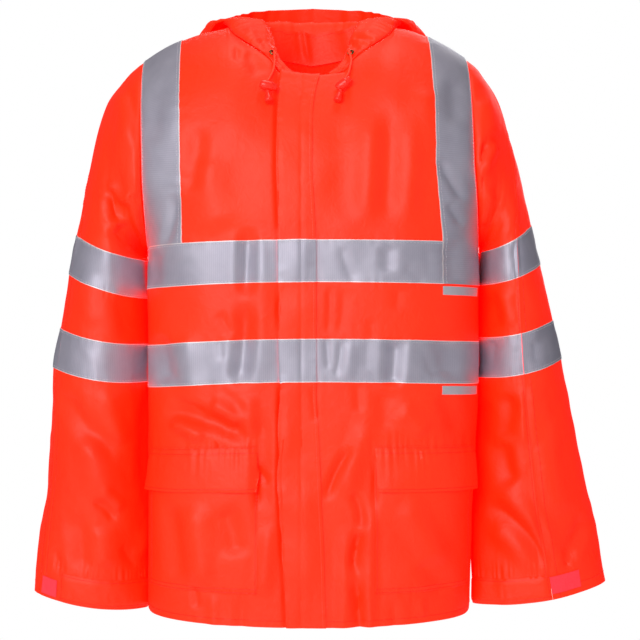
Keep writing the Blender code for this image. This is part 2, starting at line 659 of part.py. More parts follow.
def flap_patch(heights):
    """Points of both fronts under the storm flap, from its free edge to its stitched edge."""
    right = torso_patch(RIGHT, FRONT, (FLAP_FREE_EDGE, FRONT_EDGE), heights)
    left = torso_patch(LEFT, FRONT, (FLAP_STITCH_EDGE - 2 * SEAM,), heights)
    return [np.concatenate([right[k], left[k]], axis=1) for k in (0, 1)]


def make_storm_flap():
    points, normals = flap_patch(BODY_ROWS)
    on_top("storm_flap", "cloth", points, normals, SEAM, WALL)
    for span, place in ((UPPER_BAND, "upper"), (LOWER_BAND, "lower")):
        points, normals = flap_patch(band_rows(span))
        on_top("flap_band_" + place, "tape", points, normals, 2 * SEAM + WALL)


def columns_between(side, start, end):
    """The front's own columns from start to end, the first moved a gap clear of what lies beside it."""
    kept = [c for c in front_columns(side) if start + 0.002 < c <= end + 1e-6]
    return [start + 2 * SEAM] + kept


def band_rows(span):
    """The body's rows across a band, its top a gap clear of the brace that ends there."""
    rows = [row for row in BODY_ROWS if span[0] <= row <= span[1]]
    rows[-1] -= 2 * SEAM
    return rows


def make_body_bands():
    for side in (RIGHT, LEFT):
        start = FLAP_FREE_EDGE if side == RIGHT else FLAP_STITCH_EDGE
        for span, place in ((UPPER_BAND, "upper"), (LOWER_BAND, "lower")):
            rows = band_rows(span)
            columns = columns_between(side, start, EDGE)
            columns[-1] -= BAND_END
            if place == "upper" and side == LEFT:
                columns = columns_between(side, start, BRACE_INNER)
                columns[-1] -= 2 * SEAM
            points, normals = torso_patch(side, FRONT, columns, rows)
            on_top("front_band_" + place + "_" + SIDE_NAME[side], "tape", points, normals, SEAM)
    for span, place in ((UPPER_BAND, "upper"), (LOWER_BAND, "lower")):
        columns = BACK_COLUMNS[:-1] + (EDGE - BAND_END,)
        halves = [torso_patch(side, BACK, columns, band_rows(span)) for side in (RIGHT, LEFT)]
        joined = [np.concatenate([halves[0][k][:, :0:-1], halves[1][k]], axis=1) for k in (0, 1)]
        on_top("back_band_" + place, "tape", joined[0], joined[1], SEAM)


def make_brace(side):
    """One length of tape over the shoulder: up the front, over the seam and down the back."""
    low = ARMPIT if side == RIGHT else UPPER_BAND[0]
    columns = [column for column in OUTER_COLUMNS if BRACE_INNER <= column < EDGE] + [EDGE - BRACE_END]
    front_rows = [row for row in BODY_ROWS if row >= low]
    back_rows = [row for row in BODY_ROWS if row >= ARMPIT]
    front = torso_patch(side, FRONT, columns, front_rows)
    back = torso_patch(side, BACK, columns, back_rows[::-1])
    joined = [np.concatenate([front[k], back[k]], axis=0) for k in (0, 1)]
    split_from = len(front_rows) if side == LEFT else None
    on_top("brace_" + SIDE_NAME[side], "tape", joined[0], joined[1], SEAM, split_from=split_from)


def make_pocket(side):
    """A patch pocket that puffs a little, and its flap, which covers the pocket's open top."""
    columns = [c for c in front_columns(side) if POCKET_EDGE[side] <= c <= POCKET_SIDE]
    rows = [row for row in BODY_ROWS if POCKET_BOTTOM <= row < POCKET_TOP] + [POCKET_TOP]
    inset = columns[:-1] + [columns[-1] - POCKET_CORNER_INSET]
    points, normals = torso_patch(side, FRONT, inset, rows)
    u, v = grid(np.linspace(0, 1, len(columns)), np.linspace(0, 1, len(rows)))
    puff = POCKET_PUFF * np.sin(np.pi * u) * np.sin(np.pi * v)
    on_top("pocket_" + SIDE_NAME[side], "cloth", points, normals, 3 * SEAM + np.abs(puff), WALL)

    flap_rows = [row for row in BODY_ROWS if POCKET_FLAP_BOTTOM <= row <= POCKET_FLAP_TOP]
    wide = [columns[0] - POCKET_FLAP_OVERHANG] + columns[1:]
    points, normals = torso_patch(side, FRONT, wide, flap_rows)
    lift = np.repeat(np.array(FLAP_LIFT)[:, None], len(wide), axis=1)
    on_top("pocket_flap_" + SIDE_NAME[side], "cloth", points, normals, lift, WALL)


def make_labels():
    columns = [column for column in OUTER_COLUMNS if BRACE_INNER <= column <= POCKET_SIDE]
    for place, span in (("upper", UPPER_BAND), ("lower", LOWER_BAND)):
        rows = (span[0] - SEAM - LABEL_DROP, span[0] - 2 * SEAM)
        points, normals = torso_patch(LEFT, FRONT, columns, rows)
        on_top("label_" + place, "label", points, normals, SEAM)


def make_collar():
    """The low stand inside the back of the neck, highest at the centre back."""
    turns = np.linspace(*COLLAR_TURNS, 17)
    angle = np.radians(turns)
    seam_height = read(NECK, "height", np.where(turns > 180, 360 - turns, turns))
    share = (turns - COLLAR_TURNS[0] + 12) / (COLLAR_TURNS[1] - COLLAR_TURNS[0] + 24)
    rise = COLLAR_RISE * np.sin(share * np.pi) ** 0.6
    sides = {0.0: [], COLLAR_WALL: []}
    for part_way in (0.0, 0.25, 0.6, 1.0):
        up = COLLAR_FOOT + (rise - COLLAR_FOOT) * part_way
        for thickness, rows in sides.items():
            inset = COLLAR_INSET + COLLAR_LEAN * np.maximum(up, 0) + thickness
            x = (NECK_HALF_WIDTH - inset) * np.sin(angle)
            y = NECK_CENTRE_Y - (NECK_HALF_DEPTH - inset) * np.cos(angle)
            rows.append(np.stack([x, y, seam_height + up], axis=-1))
    wall("collar", "cloth", np.array(sides[0.0]), np.array(sides[COLLAR_WALL]))


def make_hood():
    right = -np.linspace(HOOD_CORNER[RIGHT], 180, HOOD_COLUMNS_A_SIDE)
    left = np.linspace(180, HOOD_CORNER[LEFT], HOOD_COLUMNS_A_SIDE)[1:]
    turn, place = grid(np.concatenate([right, left]), np.linspace(0, 1, HOOD_ROWS))
    points = hood(turn, place)
    normals = np.cross(np.gradient(points, axis=0), np.gradient(points, axis=1))
    normals /= np.linalg.norm(normals, axis=-1, keepdims=True)
    wall("hood", "cloth", points, points - normals * WALL)


def front_place(x, z):
    """A point of the fronts' outer face, and its normal, at a place in the front view."""
    side = RIGHT if x < 0 else LEFT
    heights = np.linspace(-0.3, 0, 301)
    column = torso(side, FRONT, np.full(heights.shape, abs(x)), heights)
    height = float(np.interp(z, column[:, 2], heights))
    points, normals = torso_patch(side, FRONT, [abs(x)], [height])
    return Vector(points[0, 0]), Vector(normals[0, 0])


def ring(name, kind, centre, normal, radius, thickness):
    """A small metal ring, a circle spun once round its axis."""
    bm = bmesh.new()
    made = bmesh.ops.create_circle(bm, segments=6, radius=thickness)
    bmesh.ops.rotate(bm, verts=made["verts"], cent=(0, 0, 0), matrix=Matrix.Rotation(np.pi / 2, 3, "X"))
    bmesh.ops.translate(bm, verts=made["verts"], vec=(radius, 0, 0))
    bmesh.ops.spin(
        bm, geom=bm.edges[:], cent=(0, 0, 0), axis=(0, 0, 1), angle=2 * np.pi, steps=14, use_merge=True
    )
    bmesh.ops.remove_doubles(bm, verts=bm.verts, dist=1e-6)
    turn = Vector((0, 0, 1)).rotation_difference(normal).to_matrix().to_4x4()
    bmesh.ops.transform(bm, matrix=Matrix.Translation(centre) @ turn, verts=bm.verts)
    finish(bm, name, kind)


def barrel(name, kind, centre, axis, length, radii):
    """A short turned body with rounded ends."""
    bm = bmesh.new()
    bmesh.ops.create_cone(
        bm, cap_ends=True, segments=12, radius1=radii[0], radius2=radii[1], depth=length
    )
    ends = [edge for edge in bm.edges if abs(edge.verts[0].co.z - edge.verts[1].co.z) < 1e-6]
    bmesh.ops.bevel(
        bm, geom=ends, offset=min(radii) * 0.35, segments=2, profile=0.5, affect="EDGES", material=-1
    )
    turn = Vector((0, 0, 1)).rotation_difference(axis).to_matrix().to_4x4()
    bmesh.ops.transform(bm, matrix=Matrix.Translation(centre) @ turn, verts=bm.verts)
    finish(bm, name, kind)


def tube(name, kind, points, radius):
    data = bpy.data.curves.new(name, "CURVE")
    data.dimensions = "3D"
    spline = data.splines.new("POLY")
    spline.points.add(len(points) - 1)
    for place, point in zip(spline.points, points):
        place.co = (*point, 1)
    data.bevel_depth = radius
    data.bevel_resolution = 2
    data.use_fill_caps = True
    obj = bpy.data.objects.new(name, data)
    bpy.context.scene.collection.objects.link(obj)
    colour, roughness, metallic = FINISH[kind]
    paint(obj, name + "_" + kind, colour, roughness, metallic)


def smooth_route(points, count):
    """Points along one smooth curve through the route's own."""
    points = np.array([tuple(point) for point in points])
    places = np.concatenate([[0], np.cumsum(np.linalg.norm(np.diff(points, axis=0), axis=1))])
    at = np.linspace(0, places[-1], count)
    return np.stack([curve(at, places, points[:, k]) for k in range(3)], axis=-1)


def eyelet_place(side):
    """A place on the hood's band beside the neck, and its normal."""
    turn = np.array([side * EYELET_TURN + d for d in (0, 0.5, 0, -0.5, 0)], float)
    place = np.array([EYELET_PLACE + d for d in (0, 0, 0.01, 0, -0.01)])
    spots = hood(turn, place)
    normal = Vector(np.cross(spots[1] - spots[3], spots[2] - spots[4])).normalized()
    return Vector(spots[0]), -normal if normal.y > 0 else normal


def make_drawcord(side):
    """One free end of the hood's cord: its eyelet, the cord, a toggle lying across it and its end piece."""
    name = SIDE_NAME[side]
    rules = CORDS[side]
    spot, normal = eyelet_place(side)
    eye = spot + normal * (EYELET_LIFT + EYELET_WIRE)
    ring("eyelet_" + name, "brass", eye, normal, EYELET_RADIUS, EYELET_WIRE)

    point, out = front_place(*rules["toggle"])
    middle = point + out * (TOGGLE_RADIUS + TOGGLE_CLEARANCE)
    axis = Vector((1, 0, rules["lean"]))
    axis -= out * axis.dot(out)
    toggle_radii = (TOGGLE_RADIUS, TOGGLE_RADIUS)
    barrel("cord_toggle_" + name, "plastic", middle, axis, TOGGLE_LENGTH, toggle_radii)

    up = (Vector((0, 0, 1)) - out * out.z).normalized()
    lean = abs(rules["lean"])
    reach = TOGGLE_RADIUS * math.hypot(1, lean) + SEAM
    route = [eye + normal * (2 * EYELET_WIRE + CORD_RADIUS)]
    for x, z in rules["route"]:
        point, out = front_place(x, z)
        route.append(point + out * (CORD_RADIUS + CORD_CLEARANCE))
    route.append(middle + up * (reach + 2 * SEAM + CORD_END_SLANT * CORD_RADIUS * lean))
    tube("drawcord_" + name, "cord", smooth_route(route, CORD_POINTS), CORD_RADIUS)

    below = reach + (END_RADII[1] + abs(rules["aside"])) * lean + END_LENGTH / 2 + SEAM
    centre = middle - up * below + Vector((rules["aside"], 0, 0))
    barrel("cord_end_" + name, "plastic", centre, up, END_LENGTH, END_RADII)


def clear_scene():
    for obj in list(bpy.data.objects):
        bpy.data.objects.remove(obj, do_unlink=True)


def main():
    clear_scene()
    for side in (RIGHT, LEFT):
        make_front(side)
        make_brace(side)
        make_pocket(side)
        make_cuff(side)
        for face in (FRONT, BACK):
            make_sleeve(side, face)
            make_sleeve_band(side, face, SLEEVE_UPPER_BAND[side], "upper")
            make_sleeve_band(side, face, SLEEVE_LOWER_BAND[side], "lower")
    make_back()
    make_storm_flap()
    make_body_bands()
    make_labels()
    make_collar()
    make_hood()
    for side in (RIGHT, LEFT):
        make_drawcord(side)


main()
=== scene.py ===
"""A hooded hi-vis work jacket: its cloth with every crease, the tape, stitching, cords and fittings.

Metres, +Z up. The front faces -Y and the wearer's right is -X. The origin is at the base of the neck.
Each cut piece is a thin closed wall on one of three surfaces: the torso, a sleeve or the hood. What is
sewn on a panel is made from that panel's own points, so it follows the same creases.
"""

import math
from collections import namedtuple

import bmesh
import bpy
import numpy as np
from mathutils import Matrix, Vector


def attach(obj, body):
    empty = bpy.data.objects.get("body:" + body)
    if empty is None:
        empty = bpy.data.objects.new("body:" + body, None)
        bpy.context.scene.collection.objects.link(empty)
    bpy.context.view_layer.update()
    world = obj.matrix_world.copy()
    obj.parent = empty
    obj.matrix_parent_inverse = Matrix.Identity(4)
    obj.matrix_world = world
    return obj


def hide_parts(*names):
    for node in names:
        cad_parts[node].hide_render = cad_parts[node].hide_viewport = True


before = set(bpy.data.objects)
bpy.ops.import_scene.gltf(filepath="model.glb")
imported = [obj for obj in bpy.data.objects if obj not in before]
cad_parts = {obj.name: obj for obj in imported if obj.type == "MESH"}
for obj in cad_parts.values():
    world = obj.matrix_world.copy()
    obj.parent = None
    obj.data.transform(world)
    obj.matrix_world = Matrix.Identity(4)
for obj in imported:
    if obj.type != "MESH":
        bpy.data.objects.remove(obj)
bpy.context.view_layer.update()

RIGHT, LEFT = -1, 1
FRONT, BACK = -1, 1
SIDE_NAME = {RIGHT: "right", LEFT: "left"}
FACE_NAME = {FRONT: "front", BACK: "back"}

SEAM = 0.0003

NECK_HALF_WIDTH = 0.101
NECK_HALF_DEPTH = 0.100
NECK_CENTRE_Y = -0.005
BRACE_INNER = 0.152
EDGE = 0.200
BRACE_SHOWN = 0.0478
CHEST = -0.150
ARMPIT = -0.243
ARMHOLE_REACH = {FRONT: 0.70, BACK: 0.516}
ROUNDNESS = {FRONT: 0.58, BACK: 0.77}

FLAP_FREE_EDGE = 0.0384
FLAP_STITCH_EDGE = 0.012
FRONT_EDGE = 0.012
POCKET_EDGE = {RIGHT: 0.0625, LEFT: 0.073}
POCKET_SIDE = 0.184
HEM = -0.690
POCKET_BOTTOM = -0.6525
POCKET_TOP = -0.494
POCKET_FLAP_BOTTOM = -0.533
POCKET_FLAP_TOP = -0.480
LOWER_BAND = (-0.407, -0.357)
UPPER_BAND = (-0.292, -0.243)
LABEL_DROP = 0.0125
BAND_END = 0.003
BRACE_END = 0.0008
POCKET_PUFF = 0.0030
POCKET_CORNER_INSET = 0.002
POCKET_FLAP_OVERHANG = 0.001

SLEEVE_UPPER_BAND = {RIGHT: (-0.279, -0.232), LEFT: (-0.2677, -0.2206)}
SLEEVE_LOWER_BAND = {RIGHT: (-0.3915, -0.344), LEFT: (-0.3819, -0.3343)}
CUFF_TAB = {RIGHT: (-0.658, -0.626), LEFT: (-0.647, -0.619)}
# Shares of the way across a sleeve's front or back.
CUFF_TAB_START = {RIGHT: 0.16, LEFT: 0.0}
CUFF_PATCH_END = {RIGHT: 0.155, LEFT: 0.115}
CUFF_PATCH = {RIGHT: (-0.6565, -0.6365), LEFT: (-0.642, -0.622)}

COLLAR_TURNS = (100, 260)
COLLAR_RISE = 0.037
COLLAR_FOOT = -0.003
COLLAR_INSET = 0.0028
COLLAR_LEAN = 0.10
# The collar's upright folds: their turn, half width in degrees and depth.
COLLAR_FOLDS = ((182, 2.2, 0.0030), (187, 2.6, -0.0016), (150, 5.0, 0.0016), (207, 4.0, -0.0014), (223, 3.0, 0.0018))

EYELET_TURN = 31
EYELET_PLACE = 0.42
EYELET_RADIUS = 0.0036
EYELET_WIRE = 0.0010
EYELET_LIFT = 0.0013
CORD_RADIUS = 0.00125
CORD_CLEARANCE = 0.0022
CORD_POINTS = 24
CORD_END_SLANT = 1.6
TOGGLE_LENGTH = 0.0200
TOGGLE_RADIUS = 0.0058
TOGGLE_CLEARANCE = 0.003
END_LENGTH = 0.0150
END_RADII = (0.0048, 0.0026)

FINE = 1e-4
CLOTH = 0.0008
TAPE = 0.0005
LIFT = 0.00025
ROLL = 0.0008
ROLL_REACH = 0.0022
FRONT_STEP = 0.0026
ROW_STEP = 0.0029
BACK_STEP = 0.0036
SLEEVE_STEP = 0.0033
TAPE_WIDTH = 0.050
STITCH_PITCH = 0.0036
STITCH_LENGTH = 0.0027
STITCH_RADIUS = 0.00036
PANEL_FADE = 0.012
BODY_LEAN = 0.0012
BODY_CLEARANCE = 0.0004
MOST_LEAN = 0.0090
BACK_SIDE = 0.1905
# A crease at least this wide is a soft dip; a narrower one is sharp at its bottom.
WIDE = 0.0085
WIDE_GAIN = 1.4
NARROW_GAIN = 1.35
HOOD_GAIN = 1.5
HEM_CORNER = 0.0070
SEAM_RISE = 0.0007
SEAM_REACH = 0.0030
METRES_A_DEGREE = 0.001
SLEEVE_GAIN = 1.3
CREASE_POINTS = 15
# The share of a narrow crease that tape takes away, and how far past its edges.
TAPE_CALM = 0.60
TAPE_CALM_REACH = 0.004
# Rows of thread: above the hem, above the cuff, and inside a pocket's edges.
HEM_ROW = 0.0075
CUFF_ROW = 0.012
POCKET_ROWS = (0.002, 0.0065)
# Soft waves all over a piece: seed, size and height.
BODY_WAVES = ((3, 0.075, 0.0009), (11, 0.034, 0.00018))
SLEEVE_WAVES = ((60, 0.070, 0.0011), (66, 0.028, 0.0003))

Panel = namedtuple("Panel", "points normals across heights")

# Where a panel has a column or a row for certain, as something is sewn there or the form turns.
OUTER_MARKS = (
    0.0856, 0.0971, NECK_HALF_WIDTH, 0.1265, BRACE_INNER, 0.168, POCKET_SIDE - POCKET_CORNER_INSET, POCKET_SIDE,
    EDGE - BAND_END, EDGE - 0.0018, EDGE - BRACE_END, EDGE,
)
BACK_MARKS = (0.0, 0.034, 0.064) + OUTER_MARKS
BODY_MARKS = (
    HEM, HEM + 0.0010, HEM + 0.0024, HEM + 0.0075, POCKET_BOTTOM, POCKET_BOTTOM + 0.0020, POCKET_BOTTOM + 0.0065,
    POCKET_FLAP_BOTTOM, POCKET_FLAP_BOTTOM + 0.0035, POCKET_TOP, POCKET_FLAP_TOP - 0.0078,
    POCKET_FLAP_TOP - 0.0020, POCKET_FLAP_TOP,
    LOWER_BAND[0] - LABEL_DROP, LOWER_BAND[0], LOWER_BAND[1], UPPER_BAND[0] - LABEL_DROP, UPPER_BAND[0],
    ARMPIT, -0.2424, -0.2412, -0.239, -0.236, -0.225, -0.200, CHEST, -0.120, -0.090, -0.060, -0.030,
    -0.0075, -0.0035, -0.0015, 0.0,
)
SLEEVE_SHARES = (0.0, 0.006, 0.014, 0.03, 0.5, 0.97, 0.986, 0.994, 1.0)

# The cloth's two near shades, and the red glow that paints light into it: red it sends out itself, as no lamp
# does, so that its shadows stay red; the weave, drawn about three times coarser than real thread so that
# it shows, and the tape's ribs.
CLOTH_DEEP = "#FF3400"
CLOTH_PALE = "#FF4204"
# Painted light: the colour of the red glow that cloth, pile, cord, nylon and thread send out themselves.
PAINTED_RED_GLOW = (1.0, 0.0, 0.0, 1.0)
WEAVE_PITCH = 0.0015
RIB_PITCH = 0.0024
SELVEDGE = 0.0011

CAMERA_PLACE = (0.0098, -2.6, -0.3355)
CAMERA_LENS = 119.9
FLOOR_HEIGHT = -1.3
ROOM_LIGHT = 0.13
# Lamps: name, place, what it points at, width and height, power, tint.
LAMPS = (
    ("front softbox", (-0.75, -2.45, 0.48), (0, 0, -0.35), (1.4, 1.4), 39.5, (1.0, 0.99, 0.98)),
    ("overhead strip", (0.15, 0.1, 1.7), (0, 0, -0.1), (1.3, 0.5), 9.0, (1.0, 0.95, 0.88)),
    ("right fill", (2.2, -1.2, 0.1), (0, 0, -0.35), (0.9, 1.6), 3.5, (0.95, 0.96, 1.0)),
    ("left fill", (-2.2, -0.9, 0.0), (0, 0, -0.35), (0.8, 1.6), 2.5, (0.95, 0.96, 1.0)),
    ("back fill", (0.4, 2.4, 0.6), (0, 0, -0.35), (1.6, 1.6), 24.0, (1.0, 1.0, 1.0)),
)

def table(names, *rows):
    """A table whose first column says where each row lies."""
    return {name: [row[k] for row in rows] for k, name in enumerate(names.split())}


# Down the storm flap: where its free and its sewn edge lie across, and how far the free edge stands off.
FLAP_EDGES = table(
    "height free sewn stand",
    (-0.690, -0.0305, 0.0167, 0.0022),
    (-0.660, -0.0315, 0.0155, 0.0020),
    (-0.590, -0.0350, 0.0133, 0.0024),
    (-0.543, -0.0375, 0.0110, 0.0042),
    (-0.510, -0.0385, 0.0100, 0.0026),
    (-0.473, -0.0370, 0.0085, 0.0044),
    (-0.410, -0.0368, 0.0054, 0.0012),
    (-0.359, -0.0380, 0.0052, 0.0009),
    (-0.320, -0.0383, 0.0052, 0.0024),
    (-0.270, -0.0386, 0.0052, 0.0009),
    (-0.225, -0.0390, 0.0040, 0.0022),
    (-0.150, -0.0412, 0.0006, 0.0026),
    (-0.075, -0.0405, 0.0012, 0.0028),
    (-0.030, -0.0390, 0.0050, 0.0022),
    (0.0, -0.0367, 0.0098, 0.0014),
)
FLAP_BULGE = 0.0008
# The right front dips under the flap's free edge.
FLAP_TROUGH = table(
    "height deep",
    (-0.690, 0.0020), (-0.600, 0.0034), (-0.560, 0.0040), (-0.530, 0.0062), (-0.500, 0.0048), (-0.455, 0.0064),
    (-0.420, 0.0044), (-0.400, 0.0008), (-0.355, 0.0006), (-0.325, 0.0034), (-0.296, 0.0006), (-0.240, 0.0006),
    (-0.220, 0.0034), (-0.110, 0.0038), (-0.030, 0.0020),
)
TROUGH_REACH = 0.0034
STUD_PLACE = (-0.0075, -0.0790)
STUD_RADIUS = 0.0075
STUD_RISE = 0.0007
TAPE_INSET = 0.0028
HOOD_FINE = 118
# A pocket flap's rows of stitching below its top edge, how deep they pull in, and how its inner edge slants.
FLAP_ROWS = (-0.0020, -0.0078)
GROOVE = 0.0011
FLAP_TAPER = {RIGHT: 0.0060, LEFT: 0.0045}
POCKET_TROUGH = {RIGHT: 0.0060, LEFT: 0.0030}
POCKET_TROUGH_REACH = 0.0040
# On the hood the creases lie by turn, a millimetre a degree, and by how far out from the neck seam.
HOOD_CREASES = (
    (0.030, 0.030, 0.034, 0.095, 0.001, 0.0024, 0.0016),
    (0.036, 0.015, 0.039, 0.085, 0.001, 0.0026, -0.0018),
    (0.042, 0.030, 0.043, 0.095, 0.001, 0.0026, 0.0018),
    (0.048, 0.010, 0.047, 0.080, 0.001, 0.0030, -0.0018),
    (0.055, 0.030, 0.056, 0.095, 0.001, 0.0034, 0.0014),
    (-0.040, 0.020, -0.044, 0.080, 0.001, 0.0040, -0.0012),
    (-0.058, 0.020, -0.060, 0.090, 0.001, 0.0050, 0.0012),
    (-0.150, 0.030, -0.146, 0.070, 0.002, 0.0060, -0.0030),
    (0.152, 0.035, 0.149, 0.080, -0.002, 0.0060, -0.0028),
    (0.174, 0.040, 0.171, 0.078, 0.001, 0.0060, 0.0030),
    (-0.128, 0.060, -0.136, 0.098, 0.002, 0.0060, 0.0022),
    (0.128, 0.058, 0.137, 0.098, -0.002, 0.0060, -0.0022),
    (-0.168, 0.070, -0.169, 0.105, 0.0, 0.0050, -0.0022),
    (0.164, 0.072, 0.162, 0.105, 0.0, 0.0050, -0.0024),
)

# Heights up the body: the side seam's or armhole's place on each side, the depth in front and behind,
# and how far the cloth's level lines sink towards each side.
TORSO = table(
    "height right left front back sink_right sink_left",
    (HEM, 0.196, 0.188, 0.148, 0.146, -0.010, -0.010),
    (-0.560, 0.195, 0.192, 0.151, 0.148, 0.001, 0.000),
    (-0.400, 0.195, 0.199, 0.154, 0.150, 0.009, 0.004),
    (ARMPIT, 0.197, 0.1995, 0.155, 0.148, 0.006, 0.002),
    (-0.238, 0.1972, 0.1990, 0.155, 0.148, 0.005, 0.001),
    (-0.225, 0.1975, 0.1975, 0.155, 0.148, 0.004, 0.001),
    (-0.200, 0.198, 0.1955, 0.154, 0.148, 0.002, 0.000),
    (-0.175, 0.199, 0.193, 0.153, 0.147, 0.001, 0.000),
    (CHEST, 0.1995, 0.191, 0.151, 0.146, 0.000, 0.000),
    (-0.090, 0.202, 0.189, 0.151, 0.146, 0.000, 0.000),
    (0.000, 0.205, 0.186, 0.151, 0.146, 0.000, 0.000),
)

# Round the neck seam from the front centre, 0, to the back centre, 180.
NECK = table(
    "turn height",
    (0, -0.0492),
    (22, -0.0440),
    (28, -0.0300),
    (42, -0.0135),
    (65, 0.0050),
    (90, 0.0195),
    (120, 0.0150),
    (150, -0.0030),
    (180, -0.0120),
)

# Along the shoulder seam from the neck, 0, to the armhole, 1.
SHOULDER = table("along fall", (0.0, 0.0), (0.25, 0.14), (0.54, 0.375), (0.80, 0.69), (1.0, 1.0))
SHOULDER_TIP_HEIGHT = {RIGHT: -0.0205, LEFT: -0.0165}
SHOULDER_TIP_Y = 0.012

# Down each sleeve, by the height of its outer line: that line's distance from the centre, the inner
# line's distance and height, the middle and half depth from front to back, and the outer seam's turn.
SLEEVE = {
    RIGHT: table(
        "height out inside inside_height middle depth seam",
        (-0.0205, 0.2053, 0.1973, -0.2430, 0.004, 0.080, 0),
        (-0.037, 0.2230, 0.2000, -0.2460, 0.004, 0.086, 3),
        (-0.074, 0.2500, 0.2010, -0.2505, 0.003, 0.089, 8),
        (-0.152, 0.2695, 0.2010, -0.2565, 0.002, 0.090, 20),
        (-0.232, 0.2854, 0.2000, -0.2640, 0.000, 0.089, 30),
        (-0.279, 0.2945, 0.1990, -0.3100, -0.002, 0.087, 32),
        (-0.344, 0.3050, 0.1985, -0.3640, -0.005, 0.084, 33),
        (-0.3915, 0.3125, 0.1985, -0.4100, -0.008, 0.081, 34),
        (-0.510, 0.3180, 0.1985, -0.5290, -0.015, 0.070, 35),
        (-0.583, 0.3265, 0.1985, -0.6030, -0.022, 0.057, 35),
        (-0.660, 0.3340, 0.1990, -0.6800, -0.030, 0.046, 35),
    ),
    LEFT: table(
        "height out inside inside_height middle depth seam",
        (-0.0165, 0.1863, 0.1998, -0.2430, 0.004, 0.080, 0),
        (-0.032, 0.2030, 0.2020, -0.2445, 0.004, 0.086, 6),
        (-0.071, 0.2270, 0.2035, -0.2465, 0.003, 0.089, 18),
        (-0.127, 0.2430, 0.2038, -0.2490, 0.002, 0.090, 38),
        (-0.173, 0.2550, 0.2036, -0.2515, 0.001, 0.090, 58),
        (-0.2206, 0.2650, 0.2032, -0.2540, 0.000, 0.089, 76),
        (-0.2677, 0.2770, 0.2028, -0.2940, -0.002, 0.087, 84),
        (-0.3343, 0.2915, 0.2024, -0.3560, -0.005, 0.084, 90),
        (-0.3819, 0.3015, 0.2022, -0.4045, -0.008, 0.081, 92),
        (-0.531, 0.3310, 0.2020, -0.5530, -0.016, 0.068, 91),
        (-0.583, 0.3425, 0.2020, -0.6080, -0.022, 0.057, 88),
        (-0.649, 0.3530, 0.2025, -0.6755, -0.030, 0.046, 84),
    ),
}

SLEEVE_SAG = 0.006
CAP_BLEND = 0.110

# The hood's profile at each turn round the neck: how far out of the neck seam, and how high, its cloth
# crests, lies against the back, folds at the bag's bottom, bellies out and ends in the face edge.
HOOD = table(
    "turn crest_out crest_z lie_out lie_z fold_out fold_z belly_out belly_z rim_out rim_z",
    (12, 0.000, -0.0405, -0.001, -0.0395, -0.001, -0.0385, -0.002, -0.0375, -0.002, -0.0365),
    (24, -0.002, -0.0365, -0.005, -0.0345, -0.008, -0.0325, -0.011, -0.0305, -0.014, -0.0290),
    (35, -0.004, -0.0170, -0.010, -0.0140, -0.015, -0.0125, -0.021, -0.0120, -0.027, -0.0120),
    (48, -0.005, -0.0020, -0.014, 0.0020, -0.022, 0.0030, -0.031, 0.0030, -0.040, 0.0020),
    (62, -0.005, 0.0090, -0.015, 0.0130, -0.025, 0.0150, -0.035, 0.0160, -0.045, 0.0145),
    (76, -0.004, 0.0190, -0.013, 0.0240, -0.023, 0.0265, -0.034, 0.0270, -0.045, 0.0250),
    (88, 0.001, 0.0260, -0.001, 0.0300, -0.005, 0.0320, -0.011, 0.0325, -0.018, 0.0310),
    (100, 0.006, 0.0270, 0.011, 0.0295, 0.017, 0.0280, 0.019, 0.0300, 0.012, 0.0345),
    (112, 0.012, 0.0290, 0.024, 0.0270, 0.039, 0.0150, 0.044, 0.0230, 0.033, 0.0350),
    (125, 0.013, 0.0330, 0.036, 0.0160, 0.070, -0.0130, 0.084, 0.0050, 0.037, 0.0410),
    (140, 0.013, 0.0380, 0.060, -0.0450, 0.092, -0.1400, 0.118, -0.0650, 0.046, 0.0520),
    (160, 0.014, 0.0410, 0.050, -0.0750, 0.084, -0.1950, 0.120, -0.1050, 0.062, 0.0635),
    (180, 0.014, 0.0420, 0.048, -0.0800, 0.076, -0.2050, 0.112, -0.1200, 0.068, 0.0680),
)
HOOD_STATIONS = ("crest", "lie", "fold", "belly", "rim")
HOOD_PLACES = (0.0, 0.17, 0.35, 0.52, 0.70, 1.0)
HOOD_CORNER = {RIGHT: 12.5, LEFT: 12.0}
HOOD_FOOT_RISE = 0.0016
HOOD_CORNER_RISE = 0.0040
HOOD_TUCK = (0.0030, 0.0075)

